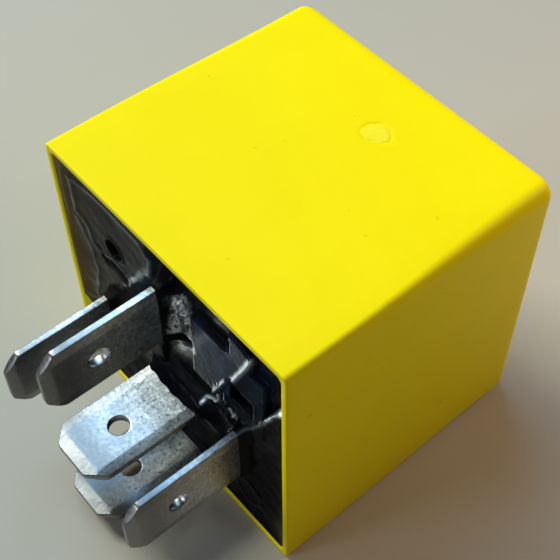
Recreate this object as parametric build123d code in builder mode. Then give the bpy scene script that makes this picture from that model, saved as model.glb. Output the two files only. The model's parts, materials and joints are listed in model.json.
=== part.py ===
from build123d import *
import os
from math import cos, pi, radians, sin

# A five-blade automotive changeover relay, sealed with potting compound in a yellow cover.
# It lies on one side: the blades point to -Y, the closed end of the cover to +Y, and Z is up.
# The origin is on the resting side, under the middle of the relay's whole length.
# Lengths are in millimetres. A depth is measured from the rim of the cover towards its closed
# end, and a height is Z above the resting side.

# Cover
COVER_WIDTH = 28.0
COVER_HEIGHT = 26.9
COVER_DEPTH = 26.2
COVER_WALL = 1.0
RIM_LIP = 0.5
EDGE_RADIUS = 0.9
CAVITY_CORNER = 0.7
STOP_RIB = 1.6
GATE_X = 1.6
GATE_FROM_END = 6.7
GATE_DISH_RADIUS = 1.2
GATE_DISH_DEPTH = 0.12
GATE_STUB_RADIUS = 0.8
GATE_STUB_HEIGHT = 0.09

# Blades: flat tabs 6.3 mm wide, with a latch hole and a tip that is cut and thinned
BLADE_WIDTH = 6.3
BLADE_THICKNESS = 0.8
LATCH_HOLE_RADIUS = 0.9
LATCH_HOLE_FROM_TIP = 4.65
TIP_CORNER = 1.4
TIP_THINNED_LENGTH = 1.0
TIP_THICKNESS = 0.45
COIL_BLADE_X = 8.4
COIL_BLADE_ABOVE_REST = 1.15
COMMON_BLADE_BELOW_TOP = 6.9
REST_BLADE_HEIGHT = 9.05
WORK_BLADE_HEIGHT = 2.0
REACH_85 = 10.4
REACH_86 = 10.8
REACH_30 = 10.7
REACH_87A = 10.2
REACH_87 = 10.0

# Base plate and potting compound
POTTING_DEPTH = 1.2
BASE_DEPTH = 2.6
BASE_THICKNESS = 2.2
BASE_CLEARANCE = 0.1
SLOT_CLEARANCE = 0.1
COLLAR_MARGIN = 1.5
COLLAR_PROUD = 0.25
COLLAR_TAPER = 40.0
BLOCK_FROM_SIDE = 7.2
BLOCK_BELOW_TOP = 8.5
BLOCK_WIDTH = 8.4
BLOCK_TALL = 6.4
BLOCK_DEPTH = 0.55
POTTING_FILM = 0.2
POCKET_OFFSET = (1.8, -0.9)
POCKET_WIDTH = 2.8
POCKET_TALL = 2.2
VENT_DIMPLE = 0.9
VENT_TAPER = 20.0
VENT_BELOW_TOP = 6.8
VENT_RADIUS = 1.0
VENT_HOLE_RADIUS = 0.6

# Yoke, core, bobbin and winding, all on one axis along Y
YOKE_THICKNESS = 1.5
YOKE_TO_POST = 1.0
YOKE_FOOT_CLEARANCE = 0.4
YOKE_EAR_WIDTH = 1.7
YOKE_EAR_RISE = 1.2
YOKE_BEND = 1.1
COIL_FLOOR = 7.1
HEAD_ROOM = 5.6
SPRING_ROOM = 3.9
CORE_SHARE = 0.5
CORE_STEP = 0.5
POLE_SHARE = 0.75
POLE_THICKNESS = 1.0
POLE_CHAMFER = 0.2
CORE_FIT = 0.05
BOBBIN_TUBE_WALL = 0.4
BOBBIN_FLANGE = 1.0
FLANGE_TO_POST = 0.7
FLANGE_RIM = 1.0
FLANGE_CORNER = 1.0
FLANGE_TO_YOKE = 0.4
LEAD_NOTCH = 1.2

# Armature, its spring leaf and its return spring
ARMATURE_THICKNESS = 1.5
ARMATURE_INSET = 0.5
ARMATURE_SHORT = 3.6
ARMATURE_SEAT = 0.05
EAR_CLEARANCE = 0.3
OPEN_ANGLE = 2.6
HEEL = 0.3
TAIL_WIDTH = 3.2
TAIL_THICKNESS = 0.8
LEAF_THICKNESS = 0.25
LEAF_WIDTH = 6.0
LEAF_TIP_WIDTH = 3.4
LEAF_BEHIND_RIVETS = 5.8
LEAF_TAPER = 7.6
RIVET_RADIUS = 0.6
RIVET_HEAD_RADIUS = 1.1
RIVET_HEAD = 0.4
RIVET_PITCH = 3.6
RIVET_FIT = 0.02
SPRING_WIRE = 0.42
SPRING_RADIUS = 0.85
SPRING_PITCH = 0.95
SPRING_CHORDS = 12
SPRING_ANCHOR_DEPTH = 8.0
HOOK_TAB_WIDTH = 2.8
HOOK_TAB_THICKNESS = 0.8
HOOK_HOLE_RADIUS = 0.4
HOOK_EDGE = 0.2
HOOK_LIGAMENT = 0.7
HOOK_WINDOW = 2.2
HOOK_ARC = 250.0
HOOK_WIRE = 0.36

# Contacts
WORK_CONTACT_HEIGHT = 3.4
CONTACT_RADIUS = 1.2
CONTACT_HEAD = 0.6
CONTACT_EDGE = 0.2
CONTACT_SHANK = 0.7
CONTACT_TAIL_RADIUS = 1.0
CONTACT_TAIL = 0.3
CONTACT_CLEARANCE = 0.08

# Inner ends of the terminals
STRIP_THICKNESS = 0.8
POST_WIDTH = 2.0
POST_DEPTH = 9.5
TENON_WIDTH = 2.3
TENON_SHORT = 0.1
WORK_STRIP_WIDTH = 5.0
CONTACT_TAB_WIDTH = 4.2
CONTACT_TAB_OVERHANG = 1.5
BRIDGE_GAP = 0.2
BRIDGE_HEIGHT = 1.5
RISER_X = 7.6
RISER_WIDTH = 4.0
RISER_HEIGHT = 5.2
ARM_WIDTH = 1.65
BEND_OUTSIDE = 0.9
BEND_RELIEF = 0.6

# Suppression resistor, coil leads and pigtail
RESISTOR_RADIUS = 1.15
RESISTOR_LENGTH = 6.4
RESISTOR_WAIST = 0.15
RESISTOR_CAP = 1.5
RESISTOR_END = 0.4
RESISTOR_DEPTH = 8.5
RESISTOR_TO_COIL = 0.15
RESISTOR_LEAD_RADIUS = 0.3
RESISTOR_LEAD_HEIGHT = 6.4
RESISTOR_LEAD_BEND = 0.5
COIL_LEAD_RADIUS = 0.12
COIL_LEAD_DEPTH = 8.2
COIL_LEAD_GAP = 0.02
COIL_LEAD_ANGLE = 30.0
COIL_LEAD_RUN = 0.9
COIL_LEAD_BEND = 0.25
WIRE_SIDES = 6
PIGTAIL_RADIUS = 0.5
PIGTAIL_X = 4.4
PIGTAIL_BACK = 6.6
PIGTAIL_GAP = 0.02
PIGTAIL_RUN = 2.4
PIGTAIL_LIFT = 1.0
PIGTAIL_LOOP = 4.1
PIGTAIL_DROP = 0.6
PIGTAIL_BEND = 0.9
PIGTAIL_PAD_LENGTH = 2.2
PIGTAIL_PAD_WIDTH = 1.4
PIGTAIL_PAD_HEIGHT = 0.7
LANDING_X = 2.1
LANDING_BEHIND_RIVETS = 3.8

# Places that follow from the sizes above
RIM_Y = max(REACH_85, REACH_86, REACH_30, REACH_87A, REACH_87) / 2 - COVER_DEPTH / 2
MIDDLE_HEIGHT = COVER_HEIGHT / 2
COIL_BLADE_HEIGHT = REST_BLADE_HEIGHT + COIL_BLADE_ABOVE_REST
COMMON_BLADE_HEIGHT = COVER_HEIGHT - COMMON_BLADE_BELOW_TOP
BLOCK_X = COVER_WIDTH / 2 - BLOCK_FROM_SIDE
BLOCK_HEIGHT = COVER_HEIGHT - BLOCK_BELOW_TOP
VENT_X = -COVER_WIDTH / 4
VENT_HEIGHT = COVER_HEIGHT - VENT_BELOW_TOP
POST_SIDE = COIL_BLADE_X - BLADE_THICKNESS / 2
YOKE_WIDTH = 2 * (POST_SIDE - YOKE_TO_POST)
FLANGE_WIDTH = 2 * (POST_SIDE - FLANGE_TO_POST)
ARMATURE_WIDTH = YOKE_WIDTH - 2 * ARMATURE_INSET
CAVITY_WIDTH = COVER_WIDTH - 2 * COVER_WALL
CAVITY_HEIGHT = COVER_HEIGHT - 2 * COVER_WALL
CAVITY_DEPTH = COVER_DEPTH - COVER_WALL
BASE_INNER = BASE_DEPTH + BASE_THICKNESS
BOBBIN_START = BASE_INNER + YOKE_THICKNESS
POLE_FACE = CAVITY_DEPTH - HEAD_ROOM
BOBBIN_END = POLE_FACE - POLE_THICKNESS
BOBBIN_LENGTH = BOBBIN_END - BOBBIN_START
YOKE_OUTER = COVER_HEIGHT - SPRING_ROOM
YOKE_INNER = YOKE_OUTER - YOKE_THICKNESS
FLANGE_HEIGHT = YOKE_INNER - FLANGE_TO_YOKE - COIL_FLOOR
COIL_HEIGHT = COIL_FLOOR + FLANGE_HEIGHT / 2
WINDING_RADIUS = FLANGE_HEIGHT / 2 - FLANGE_RIM
CORE_RADIUS = CORE_SHARE * WINDING_RADIUS
CORE_RIVET_RADIUS = CORE_RADIUS - CORE_STEP
POLE_RADIUS = POLE_SHARE * WINDING_RADIUS
YOKE_FOOT_LOW = REST_BLADE_HEIGHT + BLADE_THICKNESS / 2 + YOKE_FOOT_CLEARANCE
HINGE_DEPTH = POLE_FACE + ARMATURE_SEAT
CONTACT_ARM = YOKE_OUTER - WORK_CONTACT_HEIGHT
ARMATURE_LENGTH = CONTACT_ARM - ARMATURE_SHORT
RIVET_FROM_HINGE = CONTACT_ARM / 2
LEAF_START = RIVET_FROM_HINGE - LEAF_BEHIND_RIVETS
LEAF_TAPER_START = CONTACT_ARM - LEAF_TAPER
HOOK_HOLE = HOOK_HOLE_RADIUS + HOOK_EDGE
LIGAMENT = HOOK_HOLE + SPRING_RADIUS
HOOK_END = LIGAMENT + HOOK_LIGAMENT / 2
TILT = radians(OPEN_ANGLE)

TERMINALS = {
    "terminal_30": (0.0, COMMON_BLADE_HEIGHT, True, REACH_30),
    "terminal_85": (-COIL_BLADE_X, COIL_BLADE_HEIGHT, True, REACH_85),
    "terminal_86": (COIL_BLADE_X, COIL_BLADE_HEIGHT, True, REACH_86),
    "terminal_87": (0.0, WORK_BLADE_HEIGHT, False, REACH_87),
    "terminal_87a": (0.0, REST_BLADE_HEIGHT, False, REACH_87A),
}


def level(depth):
    """Plane across the relay at a depth; X is to the right, Z is up, and -amount goes deeper."""
    return Plane.XZ.offset(-(RIM_Y + depth))


def at(x, depth, height):
    """Point from its side, depth and height."""
    return (x, RIM_Y + depth, height)


def rounded_section(depth, width, height, radius):
    """Rounded rectangle round the middle of the cover, drawn across the relay."""
    with BuildSketch(level(depth)) as section:
        with Locations((0, MIDDLE_HEIGHT)):
            RectangleRounded(width, height, radius)
    return section.sketch


def blade_sections(depth, margin):
    """Cross-sections of all five blades, wider by a margin on every side."""
    with BuildSketch(level(depth)) as sections:
        for x, height, upright, _ in TERMINALS.values():
            across = BLADE_THICKNESS if upright else BLADE_WIDTH
            up = BLADE_WIDTH if upright else BLADE_THICKNESS
            with Locations((x, height)):
                Rectangle(across + 2 * margin, up + 2 * margin)
    return sections.sketch


def block_section(margin):
    """Base plate's raised block with its pocket, grown by a margin, where the block starts."""
    with BuildSketch(level(BASE_DEPTH)) as section:
        with Locations((BLOCK_X, BLOCK_HEIGHT)):
            Rectangle(BLOCK_WIDTH + 2 * margin, BLOCK_TALL + 2 * margin)
        with Locations((BLOCK_X + POCKET_OFFSET[0], BLOCK_HEIGHT + POCKET_OFFSET[1])):
            Rectangle(POCKET_WIDTH - 2 * margin, POCKET_TALL - 2 * margin, mode=Mode.SUBTRACT)
    return section.sketch


def blade(name, root):
    """Blade from a depth inside the base to its tip: corners cut off, hole punched, tip thinned."""
    x, height, upright, reach = TERMINALS[name]
    facing = (-1, 0, 0) if upright else (0, 0, 1)
    plane = Plane(origin=at(x, 0, height), x_dir=(0, -1, 0), z_dir=facing)
    half = BLADE_WIDTH / 2
    tip_half = half - TIP_CORNER
    shoulder = reach - TIP_CORNER
    with BuildPart() as tab:
        with BuildSketch(plane):
            with BuildLine():
                Polyline(
                    (-root, -half),
                    (shoulder, -half),
                    (reach, -tip_half),
                    (reach, tip_half),
                    (shoulder, half),
                    (-root, half),
                    close=True,
                )
            make_face()
            with Locations((reach - LATCH_HOLE_FROM_TIP, 0)):
                Circle(LATCH_HOLE_RADIUS, mode=Mode.SUBTRACT)
        extrude(amount=BLADE_THICKNESS / 2, both=True)
        side = Plane(origin=plane.origin, x_dir=plane.x_dir, z_dir=-plane.y_dir)
        thick = BLADE_THICKNESS / 2
        thin = TIP_THICKNESS / 2
        with BuildSketch(side):
            with BuildLine():
                Polyline(
                    (-root, -thick),
                    (reach - TIP_THINNED_LENGTH, -thick),
                    (reach, -thin),
                    (reach, thin),
                    (reach - TIP_THINNED_LENGTH, thick),
                    (-root, thick),
                    close=True,
                )
            make_face()
        extrude(amount=BLADE_WIDTH, both=True, mode=Mode.INTERSECT)
    return tab.part


def wire(points, wire_radius, bends):
    """Wire along straight runs that are joined by tangent arcs; six sides keep its facets few."""
    with BuildPart() as strand:
        with BuildLine():
            route = FilletPolyline(*points, radius=bends)
        with BuildSketch(Plane(origin=route @ 0, z_dir=route % 0)):
            RegularPolygon(wire_radius, WIRE_SIDES)
        sweep(path=route)
    return strand.part


def contact_rivet(seat, sheet, behind_radius, behind_height):
    """Contact on a sheet's face: bevelled head, shank through the sheet, and a tail or a head."""
    with BuildPart() as rivet:
        with BuildSketch(seat):
            Circle(CONTACT_RADIUS)
        extrude(amount=CONTACT_HEAD)
        with BuildSketch(seat):
            Circle(CONTACT_SHANK)
        extrude(amount=-sheet)
        with BuildSketch(seat.offset(-sheet)):
            Circle(behind_radius)
        extrude(amount=-behind_height)
        ends = rivet.faces().filter_by(GeomType.PLANE)
        face = ends.sort_by_distance(seat.offset(CONTACT_HEAD).origin)[0]
        back = ends.sort_by_distance(seat.offset(-sheet - behind_height).origin)[0]
        chamfer(face.edges(), CONTACT_EDGE)
        if behind_height > CONTACT_TAIL:
            chamfer(back.edges(), CONTACT_EDGE)
    return rivet.part


def save(part, name):
    """Label the finished piece and write its file."""
    part.label = name
    export_step(part, f"parts/{name}.step")


os.makedirs("parts", exist_ok=True)

# Cover: a deep box with soft long edges and a soft closed end
with BuildPart() as cover:
    with BuildSketch(level(0)):
        with Locations((0, MIDDLE_HEIGHT)):
            Rectangle(COVER_WIDTH, COVER_HEIGHT)
    extrude(amount=-COVER_DEPTH)
    closed_end = cover.faces().sort_by(Axis.Y)[-1]
    fillet(cover.edges().filter_by(Axis.Y) + closed_end.edges(), EDGE_RADIUS)
    cavity = rounded_section(0, CAVITY_WIDTH, CAVITY_HEIGHT, CAVITY_CORNER)
    extrude(cavity, amount=-CAVITY_DEPTH, mode=Mode.SUBTRACT)
    # The mouth is bevelled down to a thin lip
    mouth = cover.faces().sort_by(Axis.Y)[0].inner_wires()[0]
    chamfer(mouth.edges(), COVER_WALL - RIM_LIP)
    # Four corner ribs stop the base plate
    with BuildSketch(level(BASE_INNER)):
        with Locations((0, MIDDLE_HEIGHT)):
            with GridLocations(CAVITY_WIDTH - STOP_RIB / 2, CAVITY_HEIGHT - STOP_RIB / 2, 2, 2):
                Rectangle(STOP_RIB, STOP_RIB)
    extrude(amount=-(CAVITY_DEPTH - BASE_INNER))
    # The moulding gate left a broken stub in a shallow dish on the upper side
    with BuildSketch(Plane.XY.offset(COVER_HEIGHT)):
        with Locations((GATE_X, RIM_Y + COVER_DEPTH - GATE_FROM_END)):
            Circle(GATE_DISH_RADIUS)
    extrude(amount=-GATE_DISH_DEPTH, mode=Mode.SUBTRACT)
    with BuildSketch(Plane.XY.offset(COVER_HEIGHT - GATE_DISH_DEPTH)):
        with Locations((GATE_X, RIM_Y + COVER_DEPTH - GATE_FROM_END)):
            Circle(GATE_STUB_RADIUS)
    extrude(amount=GATE_STUB_HEIGHT)
save(cover.part, "cover")

# Base plate: carries the terminals in close slots, and has a vent hole and a raised block
with BuildPart() as base_plate:
    inset = 2 * BASE_CLEARANCE
    outline = rounded_section(
        BASE_DEPTH, CAVITY_WIDTH - inset, CAVITY_HEIGHT - inset, CAVITY_CORNER
    )
    extrude(outline, amount=-BASE_THICKNESS)
    extrude(block_section(0), amount=BASE_DEPTH - BLOCK_DEPTH)
    slots = blade_sections(BASE_DEPTH, SLOT_CLEARANCE)
    extrude(slots, amount=BASE_THICKNESS, both=True, mode=Mode.SUBTRACT)
    with BuildSketch(level(BASE_DEPTH)):
        with Locations((VENT_X, VENT_HEIGHT)):
            Circle(VENT_HOLE_RADIUS)
    extrude(amount=-BASE_THICKNESS, mode=Mode.SUBTRACT)
save(base_plate.part, "base_plate")

# Potting compound: fills the mouth over the base plate and creeps up every blade
with BuildPart() as potting:
    pool = rounded_section(POTTING_DEPTH, CAVITY_WIDTH, CAVITY_HEIGHT, CAVITY_CORNER)
    extrude(pool, amount=-(BASE_DEPTH - POTTING_DEPTH))
    # A film follows the base plate's raised block
    film = block_section(POTTING_FILM)
    extrude(film, amount=BASE_DEPTH - BLOCK_DEPTH + POTTING_FILM)
    # Collars of compound narrow as they climb the blades, and stop at the cover's walls
    collars = blade_sections(POTTING_DEPTH, COLLAR_MARGIN)
    extrude(collars, amount=POTTING_DEPTH + COLLAR_PROUD, taper=COLLAR_TAPER)
    mouth = rounded_section(-COLLAR_PROUD, CAVITY_WIDTH, CAVITY_HEIGHT, CAVITY_CORNER)
    extrude(mouth, amount=-(BASE_DEPTH + COLLAR_PROUD), mode=Mode.INTERSECT)
    # The blades, the block and the vent's dimple take their room out of it
    blades = blade_sections(BASE_DEPTH, 0)
    extrude(blades, amount=BASE_DEPTH + 2 * COLLAR_PROUD, mode=Mode.SUBTRACT)
    extrude(block_section(0), amount=BASE_DEPTH - BLOCK_DEPTH, mode=Mode.SUBTRACT)
    with BuildSketch(level(POTTING_DEPTH)):
        with Locations((VENT_X, VENT_HEIGHT)):
            Circle(VENT_RADIUS)
    extrude(amount=-VENT_DIMPLE, taper=VENT_TAPER, mode=Mode.SUBTRACT)
save(potting.part, "potting")

# Coil terminals: the blade ends at the base plate's inner face, and a narrow post goes on
for name in ("terminal_85", "terminal_86"):
    x = TERMINALS[name][0]
    with BuildPart() as coil_terminal:
        add(blade(name, BASE_INNER))
        with BuildSketch(level(BASE_INNER)):
            with Locations((x, COIL_BLADE_HEIGHT)):
                Rectangle(BLADE_THICKNESS, POST_WIDTH)
        extrude(amount=-(POST_DEPTH - BASE_INNER))
    save(coil_terminal.part, name)

# Common terminal: a tenon goes through the yoke's foot, where it is staked
with BuildPart() as terminal_30:
    add(blade("terminal_30", BASE_INNER))
    with BuildSketch(level(BASE_INNER)):
        with Locations((0, COMMON_BLADE_HEIGHT)):
            Rectangle(BLADE_THICKNESS, TENON_WIDTH)
    extrude(amount=-(YOKE_THICKNESS - TENON_SHORT))
save(terminal_30.part, "terminal_30")

# Working terminal: its strip runs along the resting side and turns in under the moving contact
WORK_FACE = HINGE_DEPTH + ARMATURE_THICKNESS - CONTACT_HEAD - CONTACT_CLEARANCE
WORK_TAB = WORK_FACE - CONTACT_HEAD
with BuildPart() as terminal_87:
    add(blade("terminal_87", BASE_INNER))
    with BuildSketch(Plane.YZ):
        with BuildLine():
            FilletPolyline(
                (RIM_Y + BASE_INNER, WORK_BLADE_HEIGHT),
                (RIM_Y + WORK_TAB - STRIP_THICKNESS / 2, WORK_BLADE_HEIGHT),
                (
                    RIM_Y + WORK_TAB - STRIP_THICKNESS / 2,
                    WORK_CONTACT_HEIGHT + CONTACT_TAB_OVERHANG,
                ),
                radius=BEND_OUTSIDE - STRIP_THICKNESS / 2,
            )
        trace(line_width=STRIP_THICKNESS)
    extrude(amount=WORK_STRIP_WIDTH / 2, both=True)
    with BuildSketch(level(WORK_TAB)):
        with Locations((0, WORK_CONTACT_HEIGHT)):
            Circle(CONTACT_SHANK)
    extrude(amount=STRIP_THICKNESS, both=True, mode=Mode.SUBTRACT)
save(terminal_87.part, "terminal_87")

work_seat = Plane(
    origin=at(0, WORK_TAB, WORK_CONTACT_HEIGHT), x_dir=(1, 0, 0), z_dir=(0, 1, 0)
)
make_contact = contact_rivet(work_seat, STRIP_THICKNESS, CONTACT_TAIL_RADIUS, CONTACT_TAIL)
save(make_contact, "contact_make")

# The armature's plane: local Y runs from the hinge to the free end, local Z to the closed end
HINGE = at(0, HINGE_DEPTH, YOKE_OUTER)
armature_plane = Plane(origin=HINGE, x_dir=(1, 0, 0), z_dir=(0, cos(TILT), sin(TILT)))
LEAF_TOP = ARMATURE_THICKNESS + LEAF_THICKNESS
moving_tip = armature_plane.from_local_coords((0, CONTACT_ARM, LEAF_TOP + CONTACT_HEAD))

# Resting terminal: its bridge steps aside on the base plate, its riser passes the coil, and its
# arm reaches over the moving contact
REST_FACE_Y = moving_tip.Y + CONTACT_CLEARANCE
REST_TAB_Y = REST_FACE_Y + CONTACT_HEAD
RISER_LOW = RISER_HEIGHT - STRIP_THICKNESS / 2
RISER_TOP = RISER_HEIGHT + STRIP_THICKNESS / 2
RISER_OUTSIDE = RISER_X + RISER_WIDTH / 2
ARM_INSIDE = -CONTACT_TAB_WIDTH / 2
BRIDGE_DEPTH = BASE_INNER + BRIDGE_GAP
with BuildPart() as terminal_87a:
    add(blade("terminal_87a", BRIDGE_DEPTH + STRIP_THICKNESS))
    with BuildSketch(level(BRIDGE_DEPTH)):
        with BuildLine():
            Polyline(
                (-BLADE_WIDTH / 2, REST_BLADE_HEIGHT),
                (BLADE_WIDTH / 2, REST_BLADE_HEIGHT),
                (BLADE_WIDTH / 2, RISER_LOW + BRIDGE_HEIGHT),
                (RISER_OUTSIDE, RISER_LOW + BRIDGE_HEIGHT),
                (RISER_OUTSIDE, RISER_LOW),
                (-BLADE_WIDTH / 2, RISER_LOW),
                close=True,
            )
        make_face()
    extrude(amount=-STRIP_THICKNESS)
    arm_end = REST_TAB_Y + STRIP_THICKNESS
    with BuildSketch(Plane.XY.offset(RISER_HEIGHT)):
        with BuildLine():
            Polyline(
                (RISER_OUTSIDE, RIM_Y + BRIDGE_DEPTH),
                (RISER_OUTSIDE, arm_end),
                (ARM_INSIDE, arm_end),
                (ARM_INSIDE, arm_end - ARM_WIDTH),
                (RISER_OUTSIDE - RISER_WIDTH, arm_end - ARM_WIDTH),
                (RISER_OUTSIDE - RISER_WIDTH, RIM_Y + BRIDGE_DEPTH),
                close=True,
            )
        make_face()
    extrude(amount=STRIP_THICKNESS / 2, both=True)
    with BuildSketch(Plane.XZ.offset(-REST_TAB_Y)):
        with BuildLine():
            Polyline(
                (ARM_INSIDE, RISER_TOP),
                (-ARM_INSIDE, RISER_TOP),
                (-ARM_INSIDE, moving_tip.Z - CONTACT_TAB_OVERHANG),
                (ARM_INSIDE, moving_tip.Z - CONTACT_TAB_OVERHANG),
                close=True,
            )
        make_face()
        with Locations((0, moving_tip.Z)):
            Circle(CONTACT_SHANK, mode=Mode.SUBTRACT)
    extrude(amount=-STRIP_THICKNESS)
    bends = (
        (0, RIM_Y + BRIDGE_DEPTH + STRIP_THICKNESS, REST_BLADE_HEIGHT + BLADE_THICKNESS / 2),
        (RISER_X, RIM_Y + BRIDGE_DEPTH, RISER_LOW),
        (0, arm_end, RISER_TOP),
    )
    for bend in bends:
        fillet(terminal_87a.edges().filter_by(Axis.X).sort_by_distance(bend)[0], BEND_RELIEF)
save(terminal_87a.part, "terminal_87a")

rest_seat = Plane(
    origin=(0, REST_TAB_Y, moving_tip.Z), x_dir=(1, 0, 0), z_dir=(0, -1, 0)
)
break_contact = contact_rivet(rest_seat, STRIP_THICKNESS, CONTACT_TAIL_RADIUS, CONTACT_TAIL)
save(break_contact, "contact_break")

# Yoke: the foot stands on the base plate, and the leg runs beside the coil to the hinge edge
with BuildPart() as yoke:
    foot = RIM_Y + BASE_INNER + YOKE_THICKNESS / 2
    leg = YOKE_INNER + YOKE_THICKNESS / 2
    with BuildSketch(Plane.YZ):
        with BuildLine():
            FilletPolyline(
                (foot, YOKE_FOOT_LOW), (foot, leg), (RIM_Y + POLE_FACE, leg), radius=YOKE_BEND
            )
        trace(line_width=YOKE_THICKNESS)
    extrude(amount=YOKE_WIDTH / 2, both=True)
    # Two ears keep the armature from sliding sideways
    with BuildSketch(level(POLE_FACE)):
        with Locations((0, leg)):
            with GridLocations(YOKE_WIDTH - YOKE_EAR_WIDTH, 0, 2, 1):
                Rectangle(YOKE_EAR_WIDTH, YOKE_THICKNESS)
    extrude(amount=-YOKE_EAR_RISE)
    # The spring's hook tab is lanced out of the leg and leaves a window
    with BuildSketch(level(SPRING_ANCHOR_DEPTH)):
        with BuildLine():
            Polyline(
                (-HOOK_TAB_WIDTH / 2, leg),
                (HOOK_TAB_WIDTH / 2, leg),
                (HOOK_TAB_WIDTH / 2, YOKE_OUTER + HOOK_END),
                (-HOOK_TAB_WIDTH / 2, YOKE_OUTER + HOOK_END),
                close=True,
            )
        make_face()
        with Locations((0, YOKE_OUTER + HOOK_HOLE)):
            Circle(HOOK_HOLE_RADIUS, mode=Mode.SUBTRACT)
    extrude(amount=-HOOK_TAB_THICKNESS)
    with BuildSketch(level(SPRING_ANCHOR_DEPTH + HOOK_TAB_THICKNESS)):
        with Locations((0, leg)):
            Rectangle(HOOK_TAB_WIDTH, 2 * YOKE_THICKNESS)
    extrude(amount=-HOOK_WINDOW, mode=Mode.SUBTRACT)
    # Holes for the core's rivet end and for the common terminal's tenon
    with BuildSketch(level(BASE_INNER)):
        with Locations((0, COIL_HEIGHT)):
            Circle(CORE_RIVET_RADIUS)
        with Locations((0, COMMON_BLADE_HEIGHT)):
            Rectangle(BLADE_THICKNESS, TENON_WIDTH)
    extrude(amount=-YOKE_THICKNESS, mode=Mode.SUBTRACT)
save(yoke.part, "yoke")

# Core: riveted into the yoke's foot, with a broad pole face under the armature
with BuildPart() as core:
    for start, end, radius in (
        (BASE_INNER, BOBBIN_START, CORE_RIVET_RADIUS),
        (BOBBIN_START, BOBBIN_END, CORE_RADIUS),
        (BOBBIN_END, POLE_FACE, POLE_RADIUS),
    ):
        with BuildSketch(level(start)):
            with Locations((0, COIL_HEIGHT)):
                Circle(radius)
        extrude(amount=start - end)
    chamfer(core.faces().sort_by(Axis.Y)[-1].edges(), POLE_CHAMFER)
save(core.part, "core")

# Bobbin: a thin tube between two flanges; the lower one is notched for the coil leads
with BuildPart() as bobbin:
    for depth in (BOBBIN_START, BOBBIN_END - BOBBIN_FLANGE):
        with BuildSketch(level(depth)):
            with Locations((0, COIL_HEIGHT)):
                RectangleRounded(FLANGE_WIDTH, FLANGE_HEIGHT, FLANGE_CORNER)
        extrude(amount=-BOBBIN_FLANGE)
    with BuildSketch(level(BOBBIN_START)):
        with Locations((0, COIL_HEIGHT)):
            Circle(CORE_RADIUS + CORE_FIT + BOBBIN_TUBE_WALL)
    extrude(amount=-BOBBIN_LENGTH)
    with BuildSketch(level(BOBBIN_START)):
        with Locations((0, COIL_HEIGHT)):
            Circle(CORE_RADIUS + CORE_FIT)
    extrude(amount=-BOBBIN_LENGTH, mode=Mode.SUBTRACT)
    with BuildSketch(level(BOBBIN_START)):
        with Locations((0, COIL_BLADE_HEIGHT)):
            with GridLocations(FLANGE_WIDTH, 0, 2, 1):
                Rectangle(2 * LEAD_NOTCH, POST_WIDTH)
    extrude(amount=-BOBBIN_FLANGE, mode=Mode.SUBTRACT)
save(bobbin.part, "bobbin")

# Winding: enamelled wire wound to a smooth cylinder between the flanges
with BuildPart() as winding:
    with BuildSketch(level(BOBBIN_START + BOBBIN_FLANGE)):
        with Locations((0, COIL_HEIGHT)):
            Circle(WINDING_RADIUS)
            Circle(CORE_RADIUS + CORE_FIT + BOBBIN_TUBE_WALL, mode=Mode.SUBTRACT)
    extrude(amount=-(BOBBIN_LENGTH - 2 * BOBBIN_FLANGE))
save(winding.part, "winding")

# Armature: a plate that rocks on the yoke's outer edge, with a thin hooked tail behind it
neck = YOKE_WIDTH / 2 - YOKE_EAR_WIDTH - EAR_CLEARANCE
with BuildPart() as armature:
    with BuildSketch(armature_plane):
        with BuildLine():
            Polyline(
                (-neck, -HEEL),
                (neck, -HEEL),
                (neck, YOKE_THICKNESS + EAR_CLEARANCE),
                (ARMATURE_WIDTH / 2, YOKE_THICKNESS + EAR_CLEARANCE),
                (ARMATURE_WIDTH / 2, ARMATURE_LENGTH),
                (-ARMATURE_WIDTH / 2, ARMATURE_LENGTH),
                (-ARMATURE_WIDTH / 2, YOKE_THICKNESS + EAR_CLEARANCE),
                (-neck, YOKE_THICKNESS + EAR_CLEARANCE),
                close=True,
            )
        make_face()
    extrude(amount=ARMATURE_THICKNESS)
    with BuildSketch(armature_plane):
        with BuildLine():
            Polyline(
                (-TAIL_WIDTH / 2, 0),
                (TAIL_WIDTH / 2, 0),
                (TAIL_WIDTH / 2, -HOOK_END),
                (-TAIL_WIDTH / 2, -HOOK_END),
                close=True,
            )
        make_face()
        with Locations((0, -HOOK_HOLE)):
            Circle(HOOK_HOLE_RADIUS, mode=Mode.SUBTRACT)
    extrude(amount=TAIL_THICKNESS)
    with BuildSketch(armature_plane):
        with Locations((0, -HOOK_HOLE)):
            Circle(HOOK_HOLE_RADIUS)
        with Locations((0, RIVET_FROM_HINGE)):
            with GridLocations(RIVET_PITCH, 0, 2, 1):
                Circle(RIVET_RADIUS + RIVET_FIT)
    extrude(amount=ARMATURE_THICKNESS, mode=Mode.SUBTRACT)
save(armature.part, "armature")

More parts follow.
